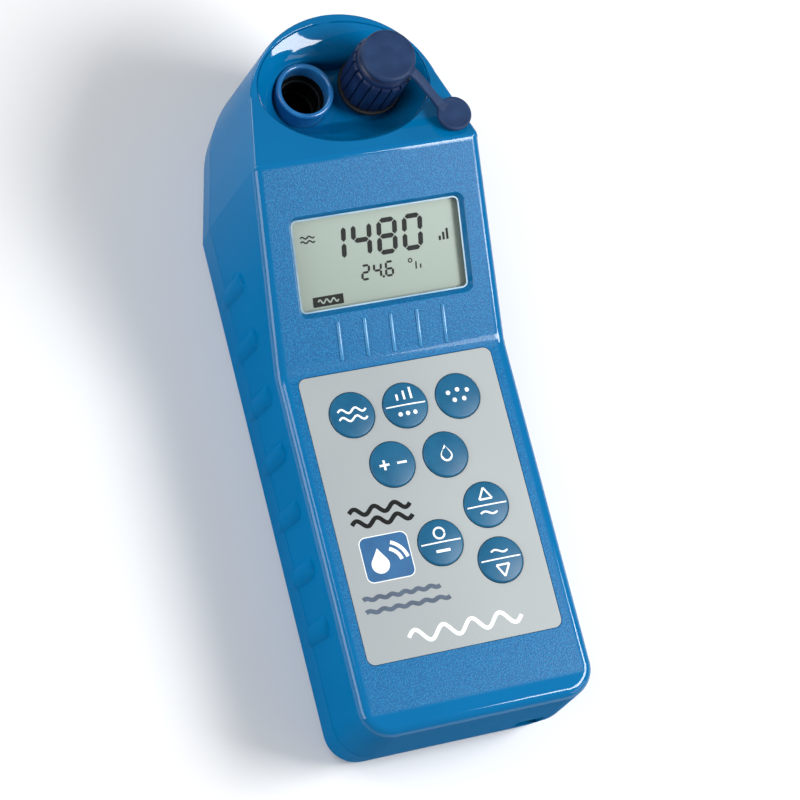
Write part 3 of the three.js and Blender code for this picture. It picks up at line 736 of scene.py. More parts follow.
# %% Front shell
SCREWS = [middle(f"case_screw_{i}") for i in range(1, 5)]
FRONT_POST, REAR_POST = 3.8, 4.8
TUBE_RADIUS, WELL_RADIUS, SOCKET_GAP = 8.0, 6.8, 0.15
SEAM_LIP = 0.9
SEAM = [(0.55, SEAM_LIP), (SEAM_HALF, SEAM_LIP), (SEAM_HALF, 0.3), (SEAM_HALF + 0.1, 0.09),
        (SEAM_HALF + 0.3, 0.0)]


def seam_rings(side):
    """The shell's edge at the parting line: above it with side 1, below it with side -1."""
    return [case_ring(PARTING_Z + side * z, inset) for z, inset in SEAM]


def tube_sockets():
    """Holes for the tubes through the pocket floor."""
    return join("sockets", [rod("socket", tube.x, tube.y, TUBE_RADIUS + SOCKET_GAP, 40, 50, case_blue),
                            rod("socket", well.x, well.y, WELL_RADIUS + SOCKET_GAP, 40, 50, case_blue)])


def front_shell():
    shell = case_body("front_shell", seam_rings(1) + rounded_edge(roof, edge_round, 1))
    add_grips(shell, PARTING_Z + SEAM_HALF, GRIP_HEIGHTS[-1][0])
    hollow = case_body("hollow", [case_ring(PARTING_Z - 1, WALL), case_ring(lambda y: roof(y) - WALL, WALL)])
    carve(hollow, bowl_cutter(1.8, 2.0))
    for x, y, _ in SCREWS:
        carve(hollow, rod("post", x, y, FRONT_POST, 0, RIDGE_Z + 5, case_blue, 32))
    carve(shell, hollow)
    for make_cutter in (bowl_cutter, window_cutter, window_seat, label_cutter, key_holes,
                        notch_cutter, pour_notch, tube_sockets):
        carve(shell, make_cutter())
    tidy(shell)
    shade(shell)
    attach(shell, "case")
    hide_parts("front_case")
    print("front shell faces:", len(shell.data.polygons))


front_shell()

# %% Rear shell


def rear_shell():
    back = rounded_edge(lambda y: 0.0, lambda y: REAR_ROUND, -1)
    shell = case_body("rear_shell", back[::-1] + seam_rings(-1)[::-1])
    add_grips(shell, GRIP_HEIGHTS[0][0], PARTING_Z - SEAM_HALF)
    hollow = case_body("hollow", [case_ring(WALL, WALL + 0.6), case_ring(PARTING_Z + 1, WALL)])
    for x, y, _ in SCREWS:
        carve(hollow, rod("post", x, y, REAR_POST, 0, RIDGE_Z, case_blue, 32))
    carve(shell, hollow)
    carve(shell, notch_cutter())
    bore = [(0, -1), (3.6, -1), (3.6, 0), (3.2, 0.35), (3.2, 8), (1.8, 8), (1.8, 20), (0, 20)]
    for x, y, _ in SCREWS:
        carve(shell, lathe("bore", bore, case_blue, (x, y), 48))
    tidy(shell)
    shade(shell)
    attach(shell, "case")
    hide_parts("rear_cover")
    print("rear shell faces:", len(shell.data.polygons))


rear_shell()

# %% [markdown]
# ## The key label
# A thin silver sheet lies in its own recess, with a round hole for each key. It carries printed marks:
# waves, and a badge with a drop and two arcs. Print has next to no thickness, but a thin mesh keeps
# it crisp at any distance, so each mark is a very flat solid on the sheet.

# %% Label sheet


def label_sheet():
    rings = [label_outline(-0.24, 2.2, FACE_Z - 0.5), label_outline(-0.24, 2.2, LABEL_TOP - 0.06),
             label_outline(-0.36, 2.1, LABEL_TOP)]
    sheet = stack("label_sheet", rings, silver)
    carve(sheet, key_holes(KEY_HOLE - 0.05, silver))
    tidy(sheet)
    shade(sheet, 25)
    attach(sheet, "case")
    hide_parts("key_label")
    print("label faces:", len(sheet.data.polygons))


label_sheet()

# %% Printed marks


def stroke(points, width):
    """A band of even width along a line of points, as an outline."""
    p = np.array(points, float)
    along = np.gradient(p, axis=0)
    side = np.stack([-along[:, 1], along[:, 0]], 1) / np.linalg.norm(along, axis=1)[:, None] * width / 2
    return [tuple(q) for q in p + side] + [tuple(q) for q in (p - side)[::-1]]


def band_faces(count):
    """Quads that fill a stroke's outline, so that a bent band stays well shaped."""
    half = count // 2
    return [(i, i + 1, count - 2 - i, count - 1 - i) for i in range(half - 1)]


def mark(name, outline, surface, material, thick=0.03, banded=True):
    """A very thin solid in the shape of outline, laid on surface(x, y)."""
    n = len(outline)
    low = [surface(x, y, -0.02) for x, y in outline]
    high = [surface(x, y, thick) for x, y in outline]
    quads = band_faces(n) if banded else [tuple(range(n))]
    faces = [tuple(n + i for i in q) for q in quads] + [tuple(reversed(q)) for q in quads]
    faces += [(i, (i + 1) % n, n + (i + 1) % n, n + i) for i in range(n)]
    return mesh_piece(name, low + high, faces, material)


def drop_outline(x, y, size, steps=40):
    """A water drop, point up."""
    points = []
    for i in range(steps):
        a = 2 * math.pi * i / steps
        pull = max(math.sin(a), 0) ** 3
        points.append((x + size * math.cos(a) * (1 - 0.75 * pull), y + size * (math.sin(a) + 0.75 * pull)))
    return points


def wave_points(x0, x1, y, height, crests):
    t = np.linspace(0, 1, 16 * crests + 1)
    return [(x0 + (x1 - x0) * s, y + height * math.sin(2 * math.pi * crests * s)) for s in t]


def on_label(x, y, lift):
    return (x, y, LABEL_TOP + lift)


def badge_prints():
    """A drop and two arcs, white on a blue square with a thin white rim."""
    bx, by = -15.4, -49.9
    rim = shifted(rounded_outline(13.7, 12.5, 2.0), bx, by)
    square = shifted(rounded_outline(13.2, 12.0, 1.8), bx, by)
    drop = drop_outline(bx - 2.2, by - 1.6, 2.5)
    prints = [mark("badge_rim", rim, on_label, print_white, 0.02, False),
              mark("badge", square, on_label, print_blue, 0.05, False),
              mark("badge_drop", drop, on_label, print_white, 0.08, False)]
    for radius in (4.6, 6.4):
        ring = arc(bx - 0.6, by - 2.2, radius, 12, 68, 14)
        prints.append(mark("badge_arc", stroke(ring, 1.0), on_label, print_white, 0.08))
    return prints


def label_prints():
    """Waves from left to right: two bold ones, the badge, two flat ones and a long white one."""
    waves = [((-22.7, -5.5, -36.7, 0.95, 3), 1.2, print_black),
             ((-22.7, -5.5, -39.9, 0.95, 3), 1.2, print_black),
             ((-24.7, -3.0, -60.0, 0.3, 6), 1.2, print_grey),
             ((-24.7, -1.0, -63.4, 0.3, 6), 1.2, print_grey),
             ((-15.0, 17.0, -72.0, 1.7, 4), 1.1, print_white)]
    prints = [mark("wave", stroke(wave_points(*shape), width), on_label, ink) for shape, width, ink in waves]
    prints[2:2] = badge_prints()
    print("label marks:", len(prints))
    whole = join("label_prints", prints)
    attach(whole, "case")


label_prints()

# %% [markdown]
# ## The keys
# Each key is a shallow dome with a soft edge that stands just proud of the sheet, on a flange that keeps
# it in. White signs are printed on the dome: they are strokes laid on the dome's own height formula, so
# they curve with it and travel with the key. The signs are plain ones: a drop, a ring, dots, waves, bars,
# a plus and a minus, and triangles for up and down.

# %% Key shape
KEY_RADIUS, KEY_TOP, KEY_CROWN, KEY_EDGE = 6.3, 42.35, 0.45, 0.6
FLANGE_RADIUS, FLANGE_TOP, FLANGE_BASE = 7.1, 38.4, 37.2
STEM_RADIUS, STEM_END = 2.5, 35.6
SIGN_SCALE = 1.24


def dome(r):
    """Height of the key's face at a distance from its middle."""
    return KEY_TOP - KEY_CROWN * (r / KEY_RADIUS) ** 2


def key_profile():
    flat = KEY_RADIUS - KEY_EDGE
    face = [(r, dome(r)) for r in np.linspace(0, flat, 12)]
    edge = arc(flat, dome(flat) - KEY_EDGE, KEY_EDGE, 90, 0, 6)[1:]
    side = [(KEY_RADIUS, FLANGE_TOP), (FLANGE_RADIUS, FLANGE_TOP), (FLANGE_RADIUS, FLANGE_BASE),
            (STEM_RADIUS, FLANGE_BASE), (STEM_RADIUS, STEM_END), (0, STEM_END)]
    return face + edge + side


def level_stroke(x0, x1, y, width, count):
    return stroke([(x, y) for x in np.linspace(x0, x1, count)], width)


def upright_stroke(x, heights):
    return stroke([(x, y) for y in heights], 0.5)


def wave_stroke(y, half=3.2, height=0.5, crests=2, width=0.45):
    return stroke(wave_points(-half, half, y, height, crests), width)


def dots(radius, places):
    return [arc(x, y, radius, 0, 345, 23) for x, y in places]


def triangle_strokes(side, y):
    """The three edges of a triangle that points up (side 1) or down (side -1)."""
    tips = [np.array((x, y + side * up)) for x, up in arc(0, 0, 1.7, 90, 330, 2)]
    edges = zip(tips, tips[1:] + tips[:1])
    return [stroke([a * (1 - t) + b * t for t in np.linspace(0, 1, 5)], 0.42) for a, b in edges]


def bar(y):
    """The thin bar across a key that has two signs."""
    return level_stroke(-4.5, 4.5, y, 0.3, 9)


COLUMNS = ((-1.6, 2.6), (0.0, 3.2), (1.6, 3.8))
SIGNS = {
    "key_conductivity": ([wave_stroke(0.9), wave_stroke(-0.9)], []),
    "key_mineral_salt": ([bar(0.0)] + [upright_stroke(x, (1.2, 2.2, top)) for x, top in COLUMNS],
                         dots(0.48, [(x, -1.9) for x in (-1.7, 0.0, 1.7)])),
    "key_solids": ([], dots(0.5, [(-2.2, 0.9), (0, 1.3), (2.2, 0.9), (-1.1, -0.9), (1.1, -0.9)])),
    "key_redox": ([level_stroke(-3.1, -0.9, 0.0, 0.5, 5), upright_stroke(-2.0, np.linspace(-1.1, 1.1, 5)),
                   level_stroke(0.9, 3.1, 0.0, 0.5, 5)], []),
    "key_acidity": ([], [drop_outline(0, -0.35, 1.35)]),
    "key_up_store": ([bar(-0.2), *triangle_strokes(1, 2.0), wave_stroke(-1.9, 1.9, 0.35, 1, 0.42)], []),
    "key_calibrate": ([bar(0.0), stroke(arc(0, 2.0, 1.2, 0, 353, 36), 0.42),
                       level_stroke(-1.6, 1.6, -1.9, 0.6, 7)], []),
    "key_down_recall": ([bar(0.2), *triangle_strokes(-1, -2.0), wave_stroke(1.9, 1.9, 0.35, 1, 0.42)], []),
}


def make_key(name):
    place = middle(name)
    cap = shade(lathe(name + "_cap", key_profile(), key_blue, (place.x, place.y), 96), 40)

    def surface(x, y, lift):
        x, y = SIGN_SCALE * x, SIGN_SCALE * y
        return (x + place.x, y + place.y, dome(math.hypot(x, y)) + lift * 0.6)

    strokes, fills = SIGNS[name]
    signs = [mark("sign", s, surface, print_white) for s in strokes]
    signs += [mark("sign", s, surface, print_white, 0.03, False) for s in fills]
    key = join(name + "_piece", [cap] + signs)
    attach(key, name)
    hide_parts(name)


for key_name in KEYS:
    make_key(key_name)
print("keys made:", len(KEYS))

# %% [markdown]
# ## The display
# The panel is a pale reflector with dark segments. A segment is a six-sided bar, and a digit is some of
# seven such bars, so a reading is made by a table of which bars are lit. The digits lean a little, as
# on real displays. They are thin solids just above the panel, under the clear window. A pale line round
# the opening is a painted highlight, standing for the window's edge as it catches the light.

# %% Segments
LIT = {"0": "abcdef", "1": "bc", "2": "abdeg", "3": "abcdg", "4": "bcfg", "5": "acdfg", "6": "acdefg",
       "7": "abc", "8": "abcdefg", "9": "abcdfg"}
LEAN = 0.07


def on_panel(x, up, lift):
    return on_slope(x, WINDOW_MIDDLE + up, PANEL_OUT + lift)


def on_opening(x, up, lift):
    return on_slope(x + WINDOW_SHIFT, WINDOW_MIDDLE + up, WINDOW_OUT + 0.03 + lift)


def segment(x0, y0, x1, y1, thick):
    """A bar from one point to another with mitred, pointed ends."""
    a, b = np.array([x0, y0]), np.array([x1, y1])
    d = (b - a) / np.linalg.norm(b - a)
    n = np.array([-d[1], d[0]]) * thick / 2
    k = d * thick / 2
    g = d * thick * 0.16
    a, b = a + g, b - g
    return [tuple(p) for p in (a, a + k + n, b - k + n, b, b - k - n, a + k - n)]


def digit(char, x, y, height, thick):
    """Outlines of a lit digit whose lower left corner is at x, y."""
    w, h = height * 0.52, height / 2
    ends = {"a": (0, 2 * h, w, 2 * h), "b": (w, 2 * h, w, h), "c": (w, h, w, 0), "d": (0, 0, w, 0),
            "e": (0, h, 0, 0), "f": (0, 2 * h, 0, h), "g": (0, h, w, h)}
    shapes = [segment(*ends[s], thick) for s in LIT[char]]
    return [[(x + px + LEAN * py, y + py) for px, py in shape] for shape in shapes]


def reading(text, x, y, height, thick, pitch):
    shapes = []
    for char in text:
        if char == ".":
            shapes.append(shifted(rounded_outline(thick, thick, thick * 0.2, 3), x - pitch * 0.23, y))
        else:
            shapes += digit(char, x, y, height, thick)
            x += pitch
    return shapes


def display_marks():
    shapes = reading("1480", -13.4, 0.2, 8.6, 1.3, 7.3)
    shapes += reading("24.6", -4.6, -6.2, 3.7, 0.6, 3.4)
    small = [stroke(wave_points(-20.6, -16.6, 7.4 - 1.2 * i, 0.3, 2), 0.36) for i in range(2)]
    small.append(stroke(arc(9.4, -3.1, 0.5, 0, 350, 20), 0.28))
    for x, count in ((10.9, 6), (12.2, 4)):
        small.append(stroke([(x + 0.02 * t, -5.6 + 0.4 * t) for t in range(count)], 0.34))
    level = [shifted(rounded_outline(0.6, 1.2 + 0.9 * i, 0.1, 2), 18.6 + 1.1 * i, 1.6 + 0.45 * i)
             for i in range(3)]
    flag = shifted(rounded_outline(8.6, 2.7, 0.2, 3), -14.9, -10.2)
    pieces = [mark("digit", s, on_panel, print_black, 0.06, False) for s in shapes + level + [flag]]
    pieces += [mark("small", s, on_panel, print_black, 0.06) for s in small]
    flag_wave = stroke(wave_points(-17.8, -12.0, -10.2, 0.5, 3), 0.42)
    pieces.append(mark("flag_wave", flag_wave, on_panel, display_face, 0.1))
    # the pale rim round the opening is a painted highlight of the window's edge
    edge = rounded_outline(WINDOW_WIDTH - 2.5, WINDOW_HEIGHT - 2.5, 1.5)
    rim = mark("window_edge", stroke(edge + edge[:2], 0.42), on_opening, edge_highlight_pale, 0.08)
    whole = join("display_marks", pieces + [rim])
    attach(whole, "case")
    print("display marks:", len(pieces))


display_marks()

# %% [markdown]
# ## Ribs under the display
# Five fine ribs stand between the display and the keypad. They are the same rib, set out in a row: a line
# of points in Geometry Nodes carries one rib each. The rib itself is a short bar with a round top and
# ends, and the pitch and the count are inputs, so the row can be changed without touching the rib. With
# every point in one place and a turn for each, the same nodes make a ring of copies for the cap.

# %% A row of copies in Geometry Nodes


def copies_tree(name, polar):
    """A node group that copies an object in a row (or, if polar, about the Z axis) and realizes it."""
    tree = bpy.data.node_groups.new(name, "GeometryNodeTree")
    face = tree.interface
    face.new_socket("Geometry", in_out="INPUT", socket_type="NodeSocketGeometry")
    face.new_socket("Geometry", in_out="OUTPUT", socket_type="NodeSocketGeometry")
    ids = {}
    for label, kind in (("Piece", "Object"), ("Count", "Int"), ("Spacing", "Vector"), ("Centre", "Vector"),
                        ("Finish", "Material")):
        ids[label] = face.new_socket(label, in_out="INPUT", socket_type="NodeSocket" + kind).identifier
    new, link = tree.nodes.new, tree.links.new
    inlet, outlet = new("NodeGroupInput"), new("NodeGroupOutput")
    line, place = new("GeometryNodeMeshLine"), new("GeometryNodeInstanceOnPoints")
    line.mode = "OFFSET"
    source, real = new("GeometryNodeObjectInfo"), new("GeometryNodeRealizeInstances")
    finish = new("GeometryNodeSetMaterial")
    link(inlet.outputs["Count"], line.inputs["Count"])
    link(inlet.outputs["Centre"], line.inputs["Start Location"])
    link(inlet.outputs["Piece"], source.inputs["Object"])
    if polar:
        index, share, turn = new("GeometryNodeInputIndex"), new("ShaderNodeMath"), new("ShaderNodeCombineXYZ")
        share.operation = "DIVIDE"
        full = new("ShaderNodeMath")
        full.operation = "MULTIPLY"
        full.inputs[1].default_value = 2 * math.pi
        link(index.outputs[0], share.inputs[0])
        link(inlet.outputs["Count"], share.inputs[1])
        link(share.outputs[0], full.inputs[0])
        link(full.outputs[0], turn.inputs["Z"])
        link(turn.outputs[0], place.inputs["Rotation"])
        line.inputs["Offset"].default_value = (0, 0, 0)
    else:
        link(inlet.outputs["Spacing"], line.inputs["Offset"])
    link(line.outputs["Mesh"], place.inputs["Points"])
    link(source.outputs["Geometry"], place.inputs["Instance"])
    link(place.outputs["Instances"], real.inputs["Geometry"])
    link(real.outputs["Geometry"], finish.inputs["Geometry"])
    link(inlet.outputs["Finish"], finish.inputs["Material"])
    link(finish.outputs["Geometry"], outlet.inputs[0])
    return tree, ids


ROW, ROW_IDS = copies_tree("row_of_copies", False)
ROUND, ROUND_IDS = copies_tree("ring_of_copies", True)


def copies(name, source, count, centre, material, spacing=(0, 0, 0), polar=False):
    """Copies source (made about the origin) and returns one plain mesh."""
    holder = mesh_piece(name, [(0, 0, 0)], [], material)
    tree, ids = (ROUND, ROUND_IDS) if polar else (ROW, ROW_IDS)
    modifier = holder.modifiers.new("copies", "NODES")
    modifier.node_group = tree
    modifier[ids["Piece"]] = source
    modifier[ids["Count"]] = count
    modifier[ids["Spacing"]] = [c * MM for c in spacing]
    modifier[ids["Centre"]] = [c * MM for c in centre]
    modifier[ids["Finish"]] = material
    bake(holder)
    bpy.data.objects.remove(source)
    tidy(holder)
    smooth(holder, 40)
    return holder


# %% Display ribs
RIB_COUNT, RIB_PITCH, RIB_START, RIB_END = 5, 7.5, 1.5, 12.3
RIB_SHIFT, RIB_HALF_WIDTH, RIB_HEIGHT = 0.8, 0.55, 0.5


def display_ribs():
    """One rib is a stack of shrinking long outlines, tipped onto the slope."""
    length = RIB_END - RIB_START
    rings = []
    for t in np.linspace(0, 1, 6):
        inset = RIB_HALF_WIDTH * (1 - math.sqrt(1 - (0.92 * t) ** 2))
        half = RIB_HALF_WIDTH - inset
        out = -0.5 if t == 0 else RIB_HEIGHT * t
        outline = rounded_outline(2 * half, length - 2 * inset, half - 0.01, 5)
        rings.append([on_slope(x, (RIB_START + RIB_END) / 2 + up, out) for x, up in outline])
    # the ribs' paler blue is a painted highlight along their tops
    rib = stack("rib", rings, rib_highlight_blue)
    left = -(RIB_COUNT - 1) / 2 * RIB_PITCH + RIB_SHIFT
    ribs = copies("display_ribs", rib, RIB_COUNT, (left, 0, 0), rib_highlight_blue, (RIB_PITCH, 0, 0))
    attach(ribs, "case")
    print("rib faces:", len(ribs.data.polygons))


display_ribs()

# %% [markdown]
# ## Cup and well
# The open cup is a turned tube with a rolled rim. Below the rim its bore is lined with black: painted shade
# for the deep bore, where the measuring cell's dark electrode rings stand. The well is the thinner tube that
# the cap covers.

# %% Tubes
FLANGE, NECK_Z = 9.2, POCKET_Z - 2.3
CUP_BORE, WELL_BORE = 6.5, 5.6
LINER_DEPTH, LINER_WALL = 5.5, 0.9


def cell_cup():
    low, high = corners("cell_cup")
    rim, base = high.z, low.z + 2
    top = rim - LINER_DEPTH
    profile = [(0, low.z), (FLANGE, low.z), (FLANGE, NECK_Z), (TUBE_RADIUS + 0.02, NECK_Z),
               (TUBE_RADIUS, rim - 0.75)]
    profile += arc((TUBE_RADIUS + CUP_BORE) / 2, rim - 0.75, (TUBE_RADIUS - CUP_BORE) / 2, 0, 180, 12)
    profile += [(CUP_BORE, top), (CUP_BORE + LINER_WALL, top), (CUP_BORE + LINER_WALL, base), (0, base)]
    cup = shade(lathe("cell_cup_tube", profile, tube_blue, (tube.x, tube.y), 96), 40)
    # the black liner below the rim is painted shade for the deep bore
    outer, inner = CUP_BORE + LINER_WALL - 0.02, CUP_BORE - 0.15
    lining = [(outer, top - 0.02), (inner, top - 0.02), (inner, base + 1), (0, base + 1),
              (0, base + 0.05), (outer, base + 0.05), (outer, top - 0.02)]
    liner = shade(lathe("cell_liner", lining, bore_shade_black, (tube.x, tube.y), 96), 40)
    whole = join("cell_cup_piece", [cup, liner])
    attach(whole, "case")
    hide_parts("cell_cup")


def sensor_well_tube():
    low, high = corners("sensor_well")
    profile = [(WELL_BORE, low.z), (FLANGE, low.z), (FLANGE, NECK_Z), (WELL_RADIUS, NECK_Z),
               (WELL_RADIUS, high.z - 0.6)]
    profile += arc((WELL_RADIUS + WELL_BORE) / 2, high.z - 0.6, (WELL_RADIUS - WELL_BORE) / 2, 0, 180, 10)
    profile.append((WELL_BORE, low.z))
    piece = shade(lathe("sensor_well_tube", profile, tube_blue, (well.x, well.y), 96), 40)
    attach(piece, "case")
    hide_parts("sensor_well")


def collar():
    low, high = corners("sensor_collar")
    ring = [(7.0, low.z), (8.6, low.z)] + arc(8.4, high.z - 0.4, 0.4, 0, 90, 5)
    ring += [(7.0, high.z), (7.0, low.z)]
    piece = shade(lathe("collar_ring", ring, black_rubber, (well.x, well.y), 96), 40)
    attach(piece, "case")
    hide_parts("sensor_collar")


cell_cup()
sensor_well_tube()
collar()
print("tubes and collar made")

# %% [markdown]
# ## The sensor cap
# The cap is a turned shell with a bore that fits over the well. Its skirt is ribbed for grip: one upright
# rib is copied round by Geometry Nodes. On top sits the soft plate with its strap and pull disc, one
# rubbery moulding; a voxel remesh fuses the three shapes and leaves the small fillets that a mould has.

# %% Cap shell and flutes
cap_low, cap_high = corners("sensor_cap")
CAP_RADIUS, CAP_RIBS, CAP_BORE, CAP_CEILING = 8.4, 18, 7.1, 68.8
TAB_REACH, TAB_RADIUS, TAB_Z = 23.2, 4.8, 65.2
TAB_SPINE = [(5.8, 71.85), (8.0, 71.75), (9.6, 71.1), (12.0, 69.7), (14.5, 68.0), (16.6, 66.6), (18.2, 65.6),
             (20.5, 65.2)]


def cap_shell():
    base, crown, core = cap_low.z, cap_high.z, CAP_RADIUS - 0.55
    profile = [(CAP_BORE, base), (core - 0.2, base), (core, base + 0.25), (core, crown - 3.4)]
    profile += arc(core - 2.2, crown - 2.2, 2.2, 0, 90, 10)[1:]
    profile += [(0, crown), (0, CAP_CEILING), (CAP_BORE - 0.3, CAP_CEILING), (CAP_BORE, CAP_CEILING - 0.3),
                (CAP_BORE, base)]
    shell = shade(lathe("cap_core", profile, cap_navy, (well.x, well.y), 120), 40)
    height = crown - base - 3.0
    outline = rounded_outline(1.5, 2.45, 0.42, 5)
    rib_rings = []
    for z, shrink in ((0.0, 0.25), (0.25, 0.0), (height - 1.0, 0.0), (height - 0.35, 0.25), (height, 0.7)):
        out, deep, wide = CAP_RADIUS - 0.75 - 0.45 * shrink, 1 - 0.4 * shrink, 1 - 0.25 * shrink
        rib_rings.append([(out + x * deep, y * wide, z) for x, y in outline])
    rib = stack("rib", rib_rings, cap_navy)
    flutes = copies("cap_flutes", rib, CAP_RIBS, (well.x, well.y, base), cap_navy, polar=True)
    whole = join("cap_piece", [shell, flutes])
    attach(whole, "cap")
    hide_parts("sensor_cap")


def pull_tab():
    top, under = corners("cap_pull_tab")[1].z, cap_high.z + 0.12
    button = [(0, under), (7.0, under), (7.5, under + 0.5), *arc(6.5, top - 1.0, 1.0, 0, 90, 6), (0, top)]
    crown = lathe("crown", button, tab_navy, (0, 0), 96)
    coin = [(0, TAB_Z - 0.8), *arc(TAB_RADIUS - 0.5, TAB_Z - 0.3, 0.5, -90, 0, 4),
            *arc(TAB_RADIUS - 0.55, TAB_Z + 0.25, 0.55, 0, 90, 5),
            (TAB_RADIUS - 1.4, TAB_Z + 0.72), (0, TAB_Z + 0.72)]
    disc = lathe("disc", coin, tab_navy, (TAB_REACH, 0), 72)
    rings = []
    for x, h in TAB_SPINE:
        flare = 1.0 + 0.55 * max(0, (8.6 - x) / 3) + 0.35 * max(0, (x - 17.5) / 2)
        rings.append([(x, y * flare, h + t) for y, t in rounded_outline(2.7, 1.5, 0.6, 4)])
    strap = stack("strap", rings, tab_navy)
    tab = join("tab_piece", [crown, disc, strap])
    fuse = tab.modifiers.new("fuse", "REMESH")
    fuse.mode, fuse.voxel_size = "VOXEL", 0.16 * MM
    ease = tab.modifiers.new("ease", "SMOOTH")
    ease.factor, ease.iterations = 0.5, 6
    bake(tab)
    turn = Matrix.Translation((well.x * MM, well.y * MM, 0)) @ Matrix.Rotation(-math.pi / 4, 4, "Z")
    tab.data.transform(turn)
    smooth(tab)
    tab.data.materials.clear()
    tab.data.materials.append(tab_navy)
    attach(tab, "cap")
    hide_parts("cap_pull_tab")
    print("pull tab faces:", len(tab.data.polygons))


cap_shell()
pull_tab()

# %% [markdown]
# ## Screws in the back
# Four pan-head screws hold the rear shell. Each head has a cross recess, cut by one cross-shaped stack that
# narrows inwards. The frame gives the four places, two to a row, and each row is a row of copies.

# %% Screws


def make_screw():
    low, high = corners("case_screw_1")
    seat, shank, head = low.z, 1.5, 2.9
    profile = [(0, seat), (1.9, seat), *arc(head - 0.8, seat + 0.8, 0.8, -90, 0, 6), (head, seat + 2.3),
               (shank, seat + 2.3), (shank, high.z - 1.5), (0, high.z)]
    screw = lathe("screw", profile, steel, (0, 0), 48)
    arm, half = 1.5, 0.3
    cross = [(-arm, -half), (-half, -half), (-half, -arm), (half, -arm), (half, -half), (arm, -half),
             (arm, half), (half, half), (half, arm), (-half, arm), (-half, half), (-arm, half)]
    carve(screw, stack("cross", [[(x * k, y * k, z) for x, y in cross]
                                 for k, z in ((1.15, seat - 0.5), (0.75, seat + 1.5))], steel))
    return screw


def case_screws():
    rows = []
    for left, right in (SCREWS[:2], SCREWS[2:]):
        rows.append(copies("screw_row", make_screw(), 2, (left.x, left.y, 0), steel, right - left))
    whole = join("case_screws", rows)
    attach(whole, "case")
    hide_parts(*[f"case_screw_{i}" for i in range(1, 5)])
    print("screws made:", len(SCREWS))


case_screws()

# %% [markdown]
# ## Pieces that stay as they are
# Everything inside the case, and the plain pieces that show through openings, keep their own meshes from
# the frame. Only their finishes are set here, by name.

# %% Finishes of the frame's own pieces
INSIDE = {
    "case_gasket": black_rubber, "key_mat": black_rubber, "sensor_seal": black_rubber,
    "display_connector_1": black_rubber, "display_connector_2": black_rubber, "battery_pad": foam,
    "display_window": window_clear, "display_panel": display_face, "display_holder": black_plastic,
    "display_board": board, "circuit_board": board, "ribbon_cable": ivory_plastic,
    "data_module": ivory_plastic,
    "processor_chip": black_plastic, "sensor_body": black_plastic, "sensor_connector": black_plastic,
    "sensor_bulb": sensor_glass, "battery": jacket, "battery_snap": black_plastic,
    "battery_lead_red": red_wire, "battery_lead_black": black_plastic, "lanyard_pin": steel,
    "cell_electrode_upper": graphite, "cell_electrode_lower": graphite, "cell_thermistor": steel,
}
for name, node in frame["nodes"].items():
    finish = INSIDE.get(name, steel if name.startswith(("dome_", "board_screw")) else None)
    if finish:
        node.data.materials.clear()
        node.data.materials.append(finish)
print("frame pieces finished:", len(INSIDE))

# %% [markdown]
# ## Floor, light and camera
# The tester lies on a pale floor. The main light stands near, high on its right, where the back wall of the
# polished bowl mirrors it. Softer ones fill in from the keypad end, the left and the head, and a long one
# draws a streak along the left edge. The camera looks from the lower left, nearly square onto the keypad,
# through a long lens.

# %% Stage
FLOOR_HALF = 3000


def floor():
    points = [(-FLOOR_HALF, -FLOOR_HALF, 0), (FLOOR_HALF, -FLOOR_HALF, 0),
              (FLOOR_HALF, FLOOR_HALF, 0), (-FLOOR_HALF, FLOOR_HALF, 0)]
    plane = mesh_piece("floor", points, [(0, 1, 2, 3)], Finish("floor_pale", "f0f1f2", 0.6).material)


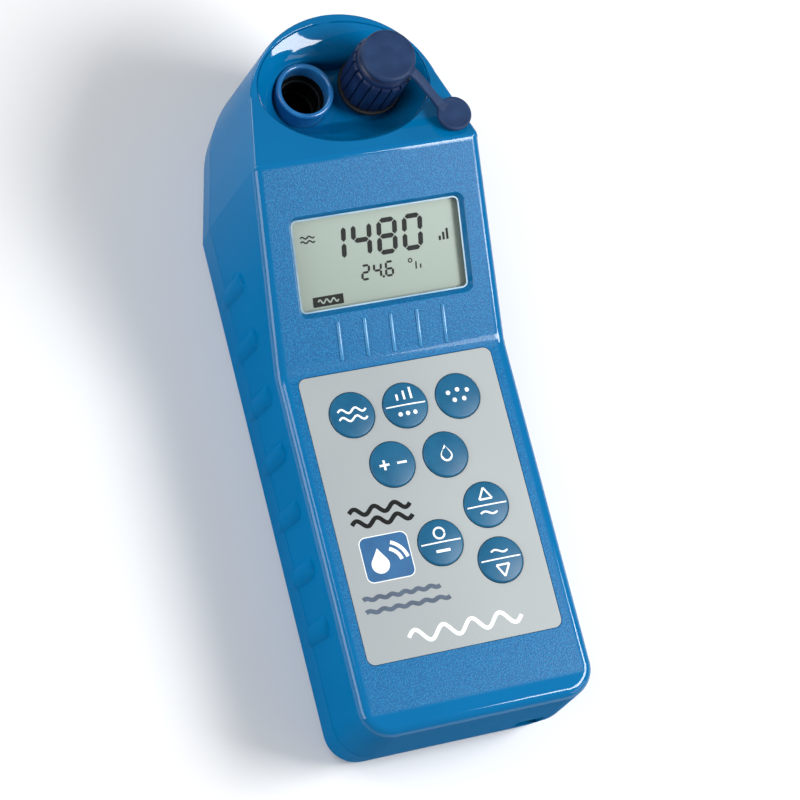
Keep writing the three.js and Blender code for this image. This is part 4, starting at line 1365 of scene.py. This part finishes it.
def area_light(name, place, aim, size, power):
    """A rectangle of light. Places and sizes are in metres, the power in watts."""
    data = bpy.data.lights.new(name, "AREA")
    data.shape, data.size, data.size_y = "RECTANGLE", size[0], size[1]
    data.energy = power
    lamp = bpy.data.objects.new(name, data)
    lamp.location = place
    lamp.rotation_euler = (Vector(aim) - Vector(place)).to_track_quat("-Z", "Y").to_euler()
    bpy.context.scene.collection.objects.link(lamp)


floor()
area_light("right_light", (0.275, -0.11, 0.425), (0, 0.08, 0.05), (0.22, 0.2), 2.5)
area_light("front_light", (0.50, -0.52, 0.30), (0, 0, 0.04), (0.4, 0.3), 0.6)
area_light("left_light", (-0.70, -0.05, 0.32), (0, 0, 0.03), (0.5, 0.4), 2.6)
area_light("streak_light", (-0.50, 0.25, 0.85), (0, -0.03, 0.04), (0.2, 0.6), 1.6)
area_light("head_light", (-0.32, 0.80, 0.36), (-0.02, 0.07, 0.04), (0.35, 0.35), 2)

world = bpy.data.worlds.new("studio")
bpy.context.scene.world = world
world.use_nodes = True
world.node_tree.nodes["Background"].inputs["Color"].default_value = (1, 1, 1, 1)
world.node_tree.nodes["Background"].inputs["Strength"].default_value = 0.2
bpy.context.scene.view_settings.view_transform = "Standard"
print("lights:", len(bpy.data.lights))

# %% Camera
CAMERA_AZIMUTH, CAMERA_ELEVATION, CAMERA_ROLL = -56.2, 67.6, 43.8
CAMERA_AIM, CAMERA_DISTANCE, CAMERA_LENS = (0.0012, -0.0073, 0.035), 0.810, 135.0


def camera():
    data = bpy.data.cameras.new("camera")
    data.lens, data.sensor_width = CAMERA_LENS, 36.0
    a, e = math.radians(CAMERA_AZIMUTH), math.radians(CAMERA_ELEVATION)
    back = Vector((math.sin(a) * math.cos(e), -math.cos(a) * math.cos(e), math.sin(e)))
    right = Vector((math.cos(a), math.sin(a), 0))
    pose = Matrix((right, back.cross(right), back)).transposed().to_4x4()
    pose = pose @ Matrix.Rotation(math.radians(CAMERA_ROLL), 4, "Z")
    pose.translation = Vector(CAMERA_AIM) + back * CAMERA_DISTANCE
    eye = bpy.data.objects.new("camera", data)
    bpy.context.scene.collection.objects.link(eye)
    eye.matrix_world = pose
    bpy.context.scene.camera = eye


camera()
print("camera at", [round(v, 3) for v in bpy.context.scene.camera.matrix_world.translation])
